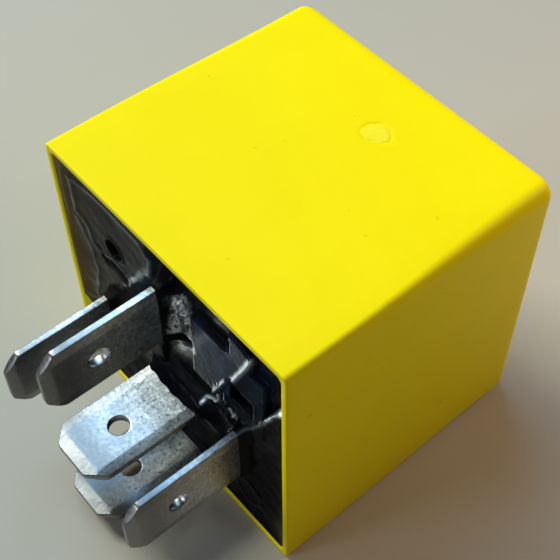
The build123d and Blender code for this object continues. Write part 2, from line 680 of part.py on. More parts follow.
# Contact spring: a thin leaf on the armature that carries the moving contact past its end
with BuildPart() as contact_spring:
    with BuildSketch(armature_plane.offset(ARMATURE_THICKNESS)):
        with BuildLine():
            Polyline(
                (-LEAF_TIP_WIDTH / 2, CONTACT_ARM),
                (-LEAF_WIDTH / 2, LEAF_TAPER_START),
                (-LEAF_WIDTH / 2, LEAF_START),
                (LEAF_WIDTH / 2, LEAF_START),
                (LEAF_WIDTH / 2, LEAF_TAPER_START),
                (LEAF_TIP_WIDTH / 2, CONTACT_ARM),
            )
            ThreePointArc(
                (LEAF_TIP_WIDTH / 2, CONTACT_ARM),
                (0, CONTACT_ARM + LEAF_TIP_WIDTH / 2),
                (-LEAF_TIP_WIDTH / 2, CONTACT_ARM),
            )
        make_face()
        with Locations((0, CONTACT_ARM)):
            Circle(CONTACT_SHANK + RIVET_FIT, mode=Mode.SUBTRACT)
        with Locations((0, RIVET_FROM_HINGE)):
            with GridLocations(RIVET_PITCH, 0, 2, 1):
                Circle(RIVET_RADIUS + RIVET_FIT, mode=Mode.SUBTRACT)
    extrude(amount=LEAF_THICKNESS)
save(contact_spring.part, "contact_spring")

# Rivets: two flat heads on the leaf, with shanks that end flush in the armature
with BuildPart() as leaf_rivets:
    with BuildSketch(armature_plane):
        with Locations((0, RIVET_FROM_HINGE)):
            with GridLocations(RIVET_PITCH, 0, 2, 1):
                Circle(RIVET_RADIUS)
    extrude(amount=LEAF_TOP)
    with BuildSketch(armature_plane.offset(LEAF_TOP)):
        with Locations((0, RIVET_FROM_HINGE)):
            with GridLocations(RIVET_PITCH, 0, 2, 1):
                Circle(RIVET_HEAD_RADIUS)
    extrude(amount=RIVET_HEAD)
save(leaf_rivets.part, "leaf_rivets")

# Moving contact: one rivet with a domed head on each side of the leaf
moving_seat = Plane(
    origin=armature_plane.from_local_coords((0, CONTACT_ARM, LEAF_TOP)),
    x_dir=(1, 0, 0),
    z_dir=armature_plane.z_dir,
)
moving_contact = contact_rivet(moving_seat, LEAF_THICKNESS, CONTACT_RADIUS, CONTACT_HEAD)
save(moving_contact, "contact_moving")

# Return spring: open coils between two round hooks that hold the tab and the armature's tail.
# Six-sided wire along straight chords keeps its facets few.
tail_eye = armature_plane.from_local_coords((0, -LIGAMENT, TAIL_THICKNESS / 2))
spring_low = RIM_Y + SPRING_ANCHOR_DEPTH + HOOK_TAB_THICKNESS / 2
spring_axis = YOKE_OUTER + LIGAMENT
coil_start = spring_low + SPRING_RADIUS
coil_length = tail_eye.Y - spring_low - 2 * SPRING_RADIUS
turns = int(coil_length / SPRING_PITCH)
chords = turns * SPRING_CHORDS
chord_angle = 2 * pi / SPRING_CHORDS
with BuildPart() as return_spring:
    with BuildLine() as coil:
        Polyline(
            *(
                (
                    SPRING_RADIUS * sin(i * chord_angle),
                    coil_start + coil_length * i / chords,
                    spring_axis + SPRING_RADIUS * cos(i * chord_angle),
                )
                for i in range(chords + 1)
            )
        )
    route = coil.wires()[0]
    with BuildSketch(Plane(origin=route @ 0, z_dir=route % 0)):
        RegularPolygon(SPRING_WIRE / 2, WIRE_SIDES)
    sweep(path=route, transition=Transition.RIGHT)
    # From each end of the coil the wire runs out over its eye and back round through it
    hook_top = spring_axis + SPRING_RADIUS
    for end, eye, turn in ((route @ 0, spring_low, 1), (route @ 1, tail_eye.Y, -1)):
        with BuildLine(Plane.YZ) as hook:
            run = Line((end.Y + turn * SPRING_WIRE / 2, hook_top), (eye, hook_top))
            CenterArc((eye, spring_axis), SPRING_RADIUS, 90, turn * HOOK_ARC)
        with BuildSketch(Plane(origin=run @ 0, z_dir=run % 0)):
            RegularPolygon(HOOK_WIRE / 2, WIRE_SIDES)
        sweep(path=hook.wires()[0])
save(return_spring.part, "return_spring")

# Pigtail: a braid, welded to the yoke and to the leaf, that carries the load current
pigtail_low = YOKE_OUTER + PIGTAIL_RADIUS + PIGTAIL_GAP
pigtail_high = LEAF_TOP + PIGTAIL_RADIUS + PIGTAIL_GAP
pigtail_start = POLE_FACE - PIGTAIL_BACK
landing_y = RIVET_FROM_HINGE - LANDING_BEHIND_RIVETS
landing = armature_plane.from_local_coords((LANDING_X, landing_y, pigtail_high))
approach = armature_plane.from_local_coords((LANDING_X, landing_y - PIGTAIL_RUN, pigtail_high))
with BuildPart() as pigtail:
    braid_points = (
        at(PIGTAIL_X, pigtail_start, pigtail_low),
        at(PIGTAIL_X, POLE_FACE - PIGTAIL_RUN, pigtail_low),
        at(PIGTAIL_X, HINGE_DEPTH, pigtail_low + PIGTAIL_LIFT),
        at(PIGTAIL_X, HINGE_DEPTH + PIGTAIL_LOOP - PIGTAIL_DROP, pigtail_low + PIGTAIL_DROP),
        at(PIGTAIL_X, HINGE_DEPTH + PIGTAIL_LOOP, YOKE_INNER - PIGTAIL_LIFT),
        tuple(approach),
        tuple(landing),
    )
    add(wire(braid_points, PIGTAIL_RADIUS, PIGTAIL_BEND))
    with BuildSketch(Plane.XY.offset(YOKE_OUTER)):
        with Locations((PIGTAIL_X, RIM_Y + pigtail_start)):
            Rectangle(PIGTAIL_PAD_WIDTH, PIGTAIL_PAD_LENGTH)
    extrude(amount=PIGTAIL_PAD_HEIGHT)
    with BuildSketch(armature_plane.offset(LEAF_TOP)):
        with Locations((LANDING_X, landing_y + PIGTAIL_PAD_LENGTH / 2)):
            Rectangle(PIGTAIL_PAD_WIDTH, PIGTAIL_PAD_LENGTH)
    extrude(amount=PIGTAIL_PAD_HEIGHT)
save(pigtail.part, "pigtail")

# Suppression resistor: a film resistor across the coil, under the bobbin
RESISTOR_HEIGHT = COIL_FLOOR - RESISTOR_TO_COIL - RESISTOR_RADIUS
with BuildPart() as resistor:
    with BuildSketch(Plane.YZ.offset(-RESISTOR_LENGTH / 2)):
        with Locations((RIM_Y + RESISTOR_DEPTH, RESISTOR_HEIGHT)):
            Circle(RESISTOR_RADIUS)
    extrude(amount=RESISTOR_LENGTH)
    ends = resistor.faces().filter_by(GeomType.PLANE)
    chamfer(ends.edges(), RESISTOR_END)
    waist = RESISTOR_LENGTH - 2 * RESISTOR_CAP
    with BuildSketch(Plane.YZ.offset(-waist / 2)):
        with Locations((RIM_Y + RESISTOR_DEPTH, RESISTOR_HEIGHT)):
            Circle(RESISTOR_RADIUS)
            Circle(RESISTOR_RADIUS - RESISTOR_WAIST, mode=Mode.SUBTRACT)
    extrude(amount=waist, mode=Mode.SUBTRACT)
save(resistor.part, "resistor")

with BuildPart() as resistor_leads:
    post_low = COIL_BLADE_HEIGHT - POST_WIDTH / 2
    for side in (-1, 1):
        lead_points = (
            at(side * RESISTOR_LENGTH / 2, RESISTOR_DEPTH, RESISTOR_HEIGHT),
            at(side * (RESISTOR_LENGTH / 2 + RESISTOR_CAP), RESISTOR_DEPTH, RESISTOR_HEIGHT),
            at(side * (RISER_X - RESISTOR_CAP), RESISTOR_DEPTH, RESISTOR_LEAD_HEIGHT),
            at(side * COIL_BLADE_X, RESISTOR_DEPTH, RESISTOR_LEAD_HEIGHT),
            at(side * COIL_BLADE_X, RESISTOR_DEPTH, post_low),
        )
        add(wire(lead_points, RESISTOR_LEAD_RADIUS, RESISTOR_LEAD_BEND))
save(resistor_leads.part, "resistor_leads")

# Coil leads: each leaves the winding at its side and lies against its terminal's post
lead_orbit = WINDING_RADIUS + COIL_LEAD_RADIUS + COIL_LEAD_GAP
lead_post = COIL_BLADE_X - BLADE_THICKNESS / 2 - COIL_LEAD_RADIUS - COIL_LEAD_GAP
for side, name in ((-1, "coil_lead_85"), (1, "coil_lead_86")):
    angle = radians(COIL_LEAD_ANGLE)
    lead_points = (
        at(side * lead_orbit * cos(angle), COIL_LEAD_DEPTH, COIL_HEIGHT - lead_orbit * sin(angle)),
        at(side * (lead_post - COIL_LEAD_RUN), COIL_LEAD_DEPTH, COIL_BLADE_HEIGHT),
        at(side * lead_post, COIL_LEAD_DEPTH, COIL_BLADE_HEIGHT),
        at(side * lead_post, COIL_LEAD_DEPTH + COIL_LEAD_RUN, COIL_BLADE_HEIGHT),
    )
    save(wire(lead_points, COIL_LEAD_RADIUS, COIL_LEAD_BEND), name)
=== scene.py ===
# %% [markdown]
# # A sealed automotive relay, dressed for its portrait
#
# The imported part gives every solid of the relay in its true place. This lesson gives the pieces
# that show their real surfaces: the moulded yellow cover, the five stamped and tinned blades, and
# the black compound that was poured round them. What the cover hides keeps its solid and gets a
# finish. Lengths are written in millimetres and turned into Blender's metres as a mesh is made.

import json

import bmesh
import bpy
import numpy as np
from mathutils import Matrix, Vector


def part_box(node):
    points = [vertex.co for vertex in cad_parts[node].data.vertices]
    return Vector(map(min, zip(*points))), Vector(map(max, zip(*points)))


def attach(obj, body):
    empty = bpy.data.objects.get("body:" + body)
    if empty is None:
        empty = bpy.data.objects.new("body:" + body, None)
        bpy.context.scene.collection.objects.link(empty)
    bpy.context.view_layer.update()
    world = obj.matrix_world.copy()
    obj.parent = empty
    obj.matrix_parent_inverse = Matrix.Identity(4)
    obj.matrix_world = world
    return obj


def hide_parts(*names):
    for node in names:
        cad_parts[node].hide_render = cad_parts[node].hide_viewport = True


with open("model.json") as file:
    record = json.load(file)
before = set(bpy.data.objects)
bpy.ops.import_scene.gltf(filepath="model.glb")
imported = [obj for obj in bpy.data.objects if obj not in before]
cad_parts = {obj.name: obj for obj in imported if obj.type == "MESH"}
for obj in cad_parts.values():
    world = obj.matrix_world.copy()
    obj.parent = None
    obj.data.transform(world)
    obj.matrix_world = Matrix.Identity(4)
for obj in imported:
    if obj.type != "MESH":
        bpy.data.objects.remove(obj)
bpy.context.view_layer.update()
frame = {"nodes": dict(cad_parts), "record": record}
cad_nodes = frame["nodes"]
MM = 0.001


# %% [markdown]
# The frame says where everything is, so the lesson measures instead of repeating the source. The
# rim of the cover is its face towards -Y, the side the blades stand out of.

# %% Places read from the frame
def box_mm(node):
    """Lowest and highest corner of a CAD node, in millimetres."""
    low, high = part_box(node)
    return np.array(low) / MM, np.array(high) / MM


cover_low, cover_high = box_mm("cover")
RIM = cover_low[1]
WALL = 1.0
COVER_HALF = np.array([cover_high[0] - cover_low[0], cover_high[2] - cover_low[2]]) / 2
COVER_MIDDLE = (cover_high[2] + cover_low[2]) / 2
COVER_DEPTH = cover_high[1] - cover_low[1]
potting_high = box_mm("potting")[1]
CAVITY_HALF = np.array([potting_high[0], COVER_HALF[1] - WALL])
print("rim at", round(RIM, 2), "depth", round(COVER_DEPTH, 2))
print("cover half sizes", COVER_HALF.round(2))


# %% [markdown]
# Every new piece is a grid of points: one parameter runs round or across it, the other along it.
# Small helpers turn such a grid into a piece. They list the quads between neighbouring points, make
# the mesh with its faces outwards by the sign of its volume, and say which CAD parts the piece
# stands for. A mark is a number at each point that the finish reads later.

# %% From arrays to pieces
SHARP_TURN = 32


def grid_faces(rows, columns, closed_rows=False, closed_columns=False):
    """Quads between neighbouring points; a closed direction joins its last line to its first."""
    row = np.arange(rows if closed_rows else rows - 1)
    column = np.arange(columns if closed_columns else columns - 1)
    row, column = np.meshgrid(row, column, indexing="ij")
    next_row, next_column = (row + 1) % rows, (column + 1) % columns
    corners = [
        row * columns + column,
        row * columns + next_column,
        next_row * columns + next_column,
        next_row * columns + column,
    ]
    return np.stack(corners, axis=-1).reshape(-1, 4)


def fan(ring, centre):
    """Triangles from each step of a closed ring of point numbers to one centre point."""
    return np.stack([ring, np.roll(ring, -1), np.full(ring.shape, centre)], axis=-1)


def volume_sign(points, faces):
    """Sign of the volume: the sum of each face's corner times the cross of its two next edges."""
    a, b, c = points[faces[:, 0]], points[faces[:, 1]], points[faces[:, 2]]
    total = np.einsum("ij,ij->i", a, np.cross(b, c)).sum()
    if faces.shape[1] == 4:
        d = points[faces[:, 3]]
        total += np.einsum("ij,ij->i", a, np.cross(c, d)).sum()
    return total


def new_mesh(name, points, face_sets, sharp=SHARP_TURN):
    """Smooth mesh of points in millimetres; edges that turn by more than the sharp angle in degrees
    stay sharp."""
    if sum(volume_sign(points, faces) for faces in face_sets) < 0:
        face_sets = [faces[:, ::-1] for faces in face_sets]
    mesh = bpy.data.meshes.new(name)
    sides = np.concatenate([np.full(len(faces), faces.shape[1]) for faces in face_sets])
    corners = np.concatenate([faces.ravel() for faces in face_sets]).astype(np.int32)
    mesh.vertices.add(len(points))
    mesh.vertices.foreach_set("co", (points * MM).astype(np.float32).ravel())
    mesh.loops.add(len(corners))
    mesh.loops.foreach_set("vertex_index", corners)
    mesh.polygons.add(len(sides))
    mesh.polygons.foreach_set("loop_start", (np.cumsum(sides) - sides).astype(np.int32))
    mesh.update(calc_edges=True)
    mesh.shade_smooth()
    mesh.set_sharp_from_angle(angle=np.radians(sharp))
    return mesh


def set_mark(mesh, name, values):
    """Value for each of the mesh's first points under a name that a finish can read."""
    spread_out = np.zeros(len(mesh.vertices), dtype=np.float32)
    spread_out[:values.size] = values.ravel()
    mesh.attributes.new(name, "FLOAT", "POINT").data.foreach_set("value", spread_out)


def new_piece(name, mesh, material_slot, *stands_for, body="housing"):
    """Object for a finished mesh: it rides on its body, and these CAD nodes aren't shown."""
    piece = bpy.data.objects.new(name, mesh)
    bpy.context.scene.collection.objects.link(piece)
    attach(piece, body)
    if stands_for:
        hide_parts(*stands_for)
    print(name, len(mesh.polygons), "faces")
    return piece


def smooth_step(low, high, value):
    """0 below low, 1 above high, and 3t^2 - 2t^3 between; it falls where high is the smaller."""
    t = np.clip((value - low) / (high - low), 0, 1)
    return t * t * (3 - 2 * t)


# %% [markdown]
# ## The cover
#
# The cover is one moulded box with its mouth at the rim. A box could be beveled with a modifier,
# but the real edges are crisp at the rim and grow rounder towards the closed end, as moulded
# corners do. So the whole cover is one grid: its columns run round a rounded rectangle, and its
# rows follow a profile from the floor of the cavity up the inner wall, over the lip, down the
# outside and across the closed end.

# %% Round the cover
CORNER_STEPS = 12
GATE_X = 1.6
GATE_DEPTH = 19.5
GATE_SIZE = 1.12
GATE_BAND = 1.5
GATE_COLUMNS = 44


def side_fractions(dense_at=None, dense_width=0.0, dense_steps=0):
    """Even steps along a side between its corners, with a close-set band where detail is needed."""
    steps = np.linspace(0, 1, 15)
    if dense_at is not None:
        band = np.linspace(dense_at - dense_width, dense_at + dense_width, dense_steps)
        steps = np.unique(np.concatenate([steps, band]).round(6))
    return steps[1:-1]


def rounded_ring(half_width, half_height, radius):
    """Points round a rectangle: straight sides by their fractions, corners as quarter circles."""
    inner = np.array([half_width - radius, half_height - radius])
    angles = np.linspace(0, np.pi / 2, CORNER_STEPS)
    gate = 0.5 - GATE_X / (2 * inner[0])
    width = GATE_BAND / (2 * inner[0])
    ring = []
    for quarter, (sx, sz) in enumerate(((1, 1), (-1, 1), (-1, -1), (1, -1))):
        turn = angles + quarter * np.pi / 2
        corner = np.stack([np.cos(turn), np.sin(turn)], axis=-1) * radius + inner * (sx, sz)
        ring.append(corner)
        start, end = corner[-1], inner * ((-1, 1), (-1, -1), (1, -1), (1, 1))[quarter]
        end = end + radius * np.array([[0, 1], [-1, 0], [0, -1], [1, 0]][quarter])
        fractions = side_fractions(gate, width, GATE_COLUMNS) if quarter == 0 else side_fractions()
        ring.append(start + (end - start) * fractions[:, None])
    return np.concatenate(ring)


print("columns round the cover:", len(rounded_ring(*COVER_HALF, 0.9)))


# %% The cover's profile
LIP = 0.5
LIP_SOFT = 0.12
CAVITY_CORNER = 0.7
RIM_CORNER = 0.5
CORNER_GROWTH = 0.75
END_FILLET = 1.25


def cover_profile():
    """Rows of (inset from the outside, depth, corner radius, shrink) from cavity floor to end."""
    wall, lip, end, soft = WALL, LIP, COVER_DEPTH, LIP_SOFT
    rows = []
    for shrink in (0.03, 0.35, 0.7, 0.93, 0.99, 1.0):
        rows.append((wall, end - wall, CAVITY_CORNER, shrink))
    for depth in (end - wall - 0.05, 20.0, 10.0, 4.0, 2.0, wall - lip + 0.06, wall - lip):
        rows.append((wall, depth, CAVITY_CORNER, 1.0))
    rows.append((wall - 0.04, wall - lip - 0.04, 0.68, 1.0))
    rows.append((lip + 0.05, 0.05, 0.55, 1.0))
    rows.append((lip + 0.02, 0.015, 0.53, 1.0))
    rows.append((lip - 0.02, 0.0, 0.52, 1.0))
    rows.append((soft + 0.04, 0.0, RIM_CORNER, 1.0))
    for angle in np.radians((0, 22, 45, 68, 90)):
        rows.append((soft - soft * np.sin(angle), soft - soft * np.cos(angle), RIM_CORNER, 1.0))
    depths = np.concatenate([
        [0.2, 0.4, 1.0, 3.0, 6.0, 9.0, 12.0, 15.0, 17.0],
        np.linspace(GATE_DEPTH - 1.6, GATE_DEPTH + 1.6, GATE_COLUMNS),
        [22.0, 23.5],
    ])
    for depth in depths:
        rows.append((0.0, depth, RIM_CORNER + CORNER_GROWTH * smooth_step(4, 24, depth), 1.0))
    fillet = END_FILLET
    for angle in np.radians(np.linspace(0, 90, 13)):
        rows.append((fillet * (1 - np.cos(angle)), end - fillet * (1 - np.sin(angle)), fillet, 1.0))
    for shrink in (0.997, 0.98, 0.7, 0.35, 0.03):
        rows.append((fillet, end, fillet, shrink))
    return rows


def cover_points():
    """One ring for each row of the profile, shrunk towards the middle on the two end faces."""
    rings = []
    for inset, depth, radius, shrink in cover_profile():
        half = COVER_HALF - inset
        ring = rounded_ring(half[0], half[1], min(radius, half.min())) * shrink
        y = np.full(len(ring), RIM + depth)
        rings.append(np.stack([ring[:, 0], y, ring[:, 1] + COVER_MIDDLE], axis=-1))
    return np.stack(rings)


cover_grid = cover_points()
print("cover grid:", cover_grid.shape)


# %% [markdown]
# The moulding gate was broken off on the upper side. It left an uneven disc with a shallow, broken
# groove round it. The disc's radius changes with the angle by a few sines, the surface goes down
# along its outline and comes up again inside, and a mark tells the finish where the disc is paler.

# %% The gate mark
MOAT_DEPTH = 0.075
MOAT_WIDTH = 0.11


def gate_relief(x, depth):
    """Height and disc near the gate. The height is a broken moat and a wider, shallower one, both
    bell shapes of the distance to a wavy outline, and a faint grain inside it. The disc is one
    inside the outline and nought outside."""
    dx, dy = x - GATE_X, depth - GATE_DEPTH
    angle = np.arctan2(dy, dx)
    outline = GATE_SIZE * (1 + 0.07 * np.sin(2 * angle + 0.6) + 0.06 * np.sin(3 * angle + 2.0))
    outline += GATE_SIZE * (0.03 * np.sin(7 * angle) + 0.015 * np.sin(11 * angle + 1))
    away = np.hypot(dx, dy * 1.08) - outline
    moat = -MOAT_DEPTH * np.exp(-(((away - 0.03) / MOAT_WIDTH) ** 2))
    moat *= 0.25 + 0.75 * np.sin(1.5 * angle + 0.9) ** 2
    grain = 0.006 * np.sin(9 * dx + 3 * dy) * np.sin(8 * dy - 2 * dx) * (away < -0.1)
    height = moat + grain - 0.006 - 0.012 * np.exp(-((away / 0.30) ** 2))
    return height, 1 - smooth_step(-0.3, 0.1, away)


GATE_REACH = 2.0
on_top = cover_grid[..., 2] > cover_high[2] - 1e-6
cover_x, cover_depths = cover_grid[..., 0], cover_grid[..., 1] - RIM
relief, gate_disc = gate_relief(cover_x, cover_depths)
near_gate = on_top & (np.hypot(cover_x - GATE_X, cover_depths - GATE_DEPTH) < GATE_REACH)
cover_grid[..., 2] += np.where(near_gate, np.minimum(relief, 0), 0)
gate_disc = np.where(near_gate, gate_disc, 0)
print("gate relief from", relief.min().round(3), "to", relief.max().round(3), "mm")

# %% The cover as a piece
rows, columns = cover_grid.shape[:2]
cover_all = np.concatenate([
    cover_grid.reshape(-1, 3),
    [[0, RIM + COVER_DEPTH - WALL, COVER_MIDDLE], [0, RIM + COVER_DEPTH, COVER_MIDDLE]],
])
first_ring = np.arange(columns)
last_ring = (rows - 1) * columns + np.arange(columns)
cover_mesh = new_mesh("cover_shell", cover_all, [
    grid_faces(rows, columns, closed_columns=True),
    fan(first_ring[::-1], rows * columns),
    fan(last_ring, rows * columns + 1),
])
set_mark(cover_mesh, "gate", gate_disc)
cover_piece = new_piece("cover_shell", cover_mesh, "yellow_cover", "cover")


# %% [markdown]
# ## The blades
#
# A blade is stamped from tinned strip: its long edges are coined to a shallow bevel, its tip is
# cut off at the corners and squeezed thin, and its hole is punched. The grid goes round the hole,
# because from the middle of the hole every edge of the blade can be seen. One parameter is the
# angle round the hole. The other goes from the hole's edge out to the blade's edge, over it, back
# on the other face, and through the hole, so the surface is closed like a ring.

# %% The blade's outline, seen from its hole
HALF_WIDTH = 3.15
HALF_THICK = 0.4
HOLE_RADIUS = 0.9
HOLE_FROM_TIP = 4.65
TIP_CUT = 1.4
ROOT = 1.9
BEVEL_WIDTH = 0.9
BEVEL_DROP = 0.11
SQUEEZE_LENGTH = 1.0
SQUEEZE_DROP = 0.17
EDGE_SOFT = 0.06
CUT_OVERLAP = 0.3
OUTLINE_POWER = 60


def edge_distance(angle, reach):
    """Distance from the hole's middle to the outline: the nearest of the straight edges that the
    ray meets, by a high power mean that rounds the corners a little."""
    hole = reach - HOLE_FROM_TIP
    along, across = np.cos(angle), np.sin(angle)
    slant = (reach - TIP_CUT) + HALF_WIDTH - hole
    edges = (
        (along, reach - hole), (-along, hole + ROOT), (across, HALF_WIDTH), (-across, HALF_WIDTH),
        (along + across, slant), (along - across, slant),
    )
    total = sum(
        np.maximum(direction / distance, 0) ** OUTLINE_POWER for direction, distance in edges
    )
    return total ** (-1 / OUTLINE_POWER)


def ray_angles(reach, count=300):
    """Angles of points set evenly along the outline, so that its far root isn't thin of points."""
    fine = np.linspace(0, 2 * np.pi, 20001)
    away = edge_distance(fine, reach)
    path = np.stack([away * np.cos(fine), away * np.sin(fine)], axis=-1)
    length = np.concatenate([[0], np.cumsum(np.hypot(*np.diff(path, axis=0).T))])
    return np.interp(np.linspace(0, length[-1], count, endpoint=False), length, fine)


print("longest ray of a blade:", edge_distance(np.array([np.pi]), 10.4).round(2), "mm")


# %% The blade's faces
def half_thickness(along, across, reach):
    """Half thickness: full in the middle, less in the coined bevels and in the squeezed tip."""
    coined = np.clip((np.abs(across) - (HALF_WIDTH - BEVEL_WIDTH)) / BEVEL_WIDTH, 0, 1)
    squeezed = np.clip((along - (reach - SQUEEZE_LENGTH)) / SQUEEZE_LENGTH, 0, 1)
    return HALF_THICK - np.maximum(BEVEL_DROP * coined, SQUEEZE_DROP * squeezed)


def face_radii(angles, reach):
    """Distances from the hole's middle for one face: near the hole they are circles, and further
    out they are smaller copies of the outline, so the bevels' creases fall on whole rows."""
    away = edge_distance(angles, reach)
    circle = HOLE_RADIUS + np.array([0.0, 0.012, 0.03, 0.06, 0.12, 0.2])
    scale = (
        0.42, 0.5, 0.58, 0.65, 0.70, 0.714, 0.73, 0.76, 0.785, 0.80, 0.84, 0.88, 0.92, 0.96, 0.975,
    )
    rows = [np.full(len(angles), radius) for radius in circle]
    rows += [np.maximum(away * part, HOLE_RADIUS + 0.2 + 0.35 * (part - 0.35)) for part in scale]
    rows += [away - inset for inset in (0.085, EDGE_SOFT, 0.043, 0.018, 0.004, 0.0)]
    return np.array(rows)


def edge_drop(rows):
    """How far each row lies below the face: quarter circles at the hole and at the outer edge."""
    drop = np.zeros(rows)
    drop[:4] = EDGE_SOFT * (1 - np.sqrt(1 - (1 - np.array([0.0, 0.2, 0.5, 1.0])) ** 2))
    drop[-5:] = EDGE_SOFT * np.array([0.0, 0.03, 0.29, 0.64, 1.0])
    return drop


def blade_surface(reach):
    """Grid of (along, across, height) over one face, the outer edge, the other face, the hole."""
    angles = ray_angles(reach)
    radii = face_radii(angles, reach)
    along = (reach - HOLE_FROM_TIP) + radii * np.cos(angles)
    across = radii * np.sin(angles)
    height = half_thickness(along, across, reach) - edge_drop(len(radii))[:, None]
    wave = 0.006 * np.sin(1.7 * along + 0.6 * across + reach) * np.sin(1.3 * across + 2 * reach)
    face = np.stack([along, across, height + wave], axis=-1)
    back = np.stack([along, across, wave - height], axis=-1)[::-1]
    middle = (face[-1:] + back[:1]) / 2
    inside = (face[:1] + back[-1:]) / 2
    return np.concatenate([face, middle, back, inside])


print("blade grid:", blade_surface(10.4).shape)


# %% [markdown]
# The frame says where each blade is and how far it stands out. Behind the rim a blade goes on
# inside the relay, where its solid already has the right strips and posts. So the solid is cut
# just behind the rim, in the compound, its inner end is kept, and the new blade is joined to it.

# %% Blades in their places
def place_blade(node):
    """The blade's grid on the relay: along goes to -Y from the rim, the others by how it lies."""
    low, high = box_mm(node)
    reach = RIM - low[1]
    tip = np.array(tip_box(node))
    upright = tip[1, 2] - tip[0, 2] > tip[1, 0] - tip[0, 0]
    middle = tip.mean(axis=0)
    along, across, height = np.moveaxis(blade_surface(reach), -1, 0)
    if upright:
        return np.stack([middle[0] - height, RIM - along, middle[2] + across], axis=-1)
    return np.stack([middle[0] + across, RIM - along, middle[2] + height], axis=-1)


def tip_box(node):
    """Lowest and highest corner of the part of a terminal that stands out of the rim."""
    mesh = cad_nodes[node].data
    points = np.empty(len(mesh.vertices) * 3)
    mesh.vertices.foreach_get("co", points)
    points = points.reshape(-1, 3) / MM
    outside = points[points[:, 1] < RIM - 1]
    return outside.min(axis=0), outside.max(axis=0)


def inner_end(node):
    """Copy of a terminal's solid, merged, cut in the compound, with the cut closed again."""
    work = bmesh.new()
    work.from_mesh(cad_nodes[node].data)
    bmesh.ops.remove_doubles(work, verts=work.verts, dist=1e-6)
    cut = bmesh.ops.bisect_plane(
        work,
        geom=work.verts[:] + work.edges[:] + work.faces[:],
        plane_co=(0, (RIM + ROOT - CUT_OVERLAP) * MM, 0),
        plane_no=(0, 1, 0),
        clear_inner=True,
    )
    edges = [item for item in cut["geom_cut"] if isinstance(item, bmesh.types.BMEdge)]
    bmesh.ops.holes_fill(work, edges=edges)
    return work


def terminal_piece(node):
    """Detailed blade joined to its inner end, in place of the CAD terminal."""
    grid = place_blade(node)
    outside = new_mesh(node + "_blade", grid.reshape(-1, 3), [
        grid_faces(*grid.shape[:2], closed_rows=True, closed_columns=True)
    ])
    work = inner_end(node)
    work.from_mesh(outside)
    mesh = bpy.data.meshes.new(node + "_stamped")
    work.to_mesh(mesh)
    work.free()
    mesh.shade_smooth()
    mesh.set_sharp_from_angle(angle=np.radians(SHARP_TURN))
    return new_piece(node + "_stamped", mesh, "tinned_strip", node)


TERMINALS = ("terminal_30", "terminal_85", "terminal_86", "terminal_87", "terminal_87a")
terminal_pieces = [terminal_piece(node) for node in TERMINALS]


# %% [markdown]
# ## The potting compound
#
# Black resin was poured over the base and set with a skin that wrinkled, sank and crept up the
# blades. It is one height over the mouth: a flat level, plus what climbs the walls and blades,
# plus hills, ledges and creases. Each is a plain formula of the place across the mouth, so the
# relief can be read and moved about. Heights are measured outwards from the rim.

# %% Forms for the relief
def turned(x, z, place, turn):
    """Coordinates from a place, turned by an angle in degrees."""
    angle = np.radians(turn)
    dx, dz = x - place[0], z - place[1]
    return dx * np.cos(angle) + dz * np.sin(angle), dz * np.cos(angle) - dx * np.sin(angle)


def hill(x, z, place, size, turn=0):
    """Bell shape: exp of minus the squared distance in units of its two sizes."""
    u, v = turned(x, z, place, turn)
    return np.exp(-((u / size[0]) ** 2) - (v / size[1]) ** 2)


def ledge(x, z, place, half, soft, turn=0):
    """Flat-topped block: one inside its half sizes, falling to nought over a soft border."""
    u, v = turned(x, z, place, turn)
    return (1 - smooth_step(-soft, soft, np.abs(u) - half[0])) * (
        1 - smooth_step(-soft, soft, np.abs(v) - half[1])
    )


def path_distance(x, z, points):
    """Distance to a bent line: the least of the distances to its straight runs."""
    best = np.full(x.shape, 1e9)
    for (ax, az), (bx, bz) in zip(points[:-1], points[1:]):
        run = (bx - ax) ** 2 + (bz - az) ** 2
        t = np.clip(((x - ax) * (bx - ax) + (z - az) * (bz - az)) / run, 0, 1)
        best = np.minimum(best, np.hypot(x - ax - t * (bx - ax), z - az - t * (bz - az)))
    return best


def crease(x, z, points, width):
    """Rounded line along a bent path: exp of minus the squared distance in units of its width."""
    return np.exp(-((path_distance(x, z, points) / width) ** 2))


def ripple(x, z, length, seed, count=7):
    """Sum of sines in seeded directions, about one high, with waves of roughly this length."""
    chance = np.random.default_rng(seed)
    total = 0
    for _ in range(count):
        angle, phase = chance.uniform(0, 2 * np.pi, 2)
        wave = 2 * np.pi / (length * chance.uniform(0.7, 1.5))
        total = total + np.sin(wave * (x * np.cos(angle) + z * np.sin(angle)) + phase)
    return total / np.sqrt(count)


def smooth_max(a, b, width):
    """The larger of two heights, by a log of summed exponentials that rounds the join."""
    return width * np.logaddexp(a / width, b / width)


# %% Compound on the walls and blades
LEVEL = -1.05
CLIMB = {
    "terminal_30": (0.65, 0.55), "terminal_85": (0.45, 0.55), "terminal_86": (0.35, 0.55),
    "terminal_87": (0.0, 0.55), "terminal_87a": (0.05, 1.3),
}
tip_boxes = {node: tip_box(node) for node in TERMINALS}


def climb(x, z):
    """Height of the compound that creeps up each blade: exp of minus the distance over a spread."""
    height = np.full(x.shape, -9.0)
    for node, (top, spread) in CLIMB.items():
        low, high = tip_boxes[node]
        dx = np.maximum(np.maximum(low[0] - x, x - high[0]), 0)
        dz = np.maximum(np.maximum(low[2] - z, z - high[2]), 0)
        away = np.hypot(dx, dz)
        height = np.maximum(height, LEVEL - 0.2 + (top + 0.2 - LEVEL) * np.exp(-away / spread))
    return height


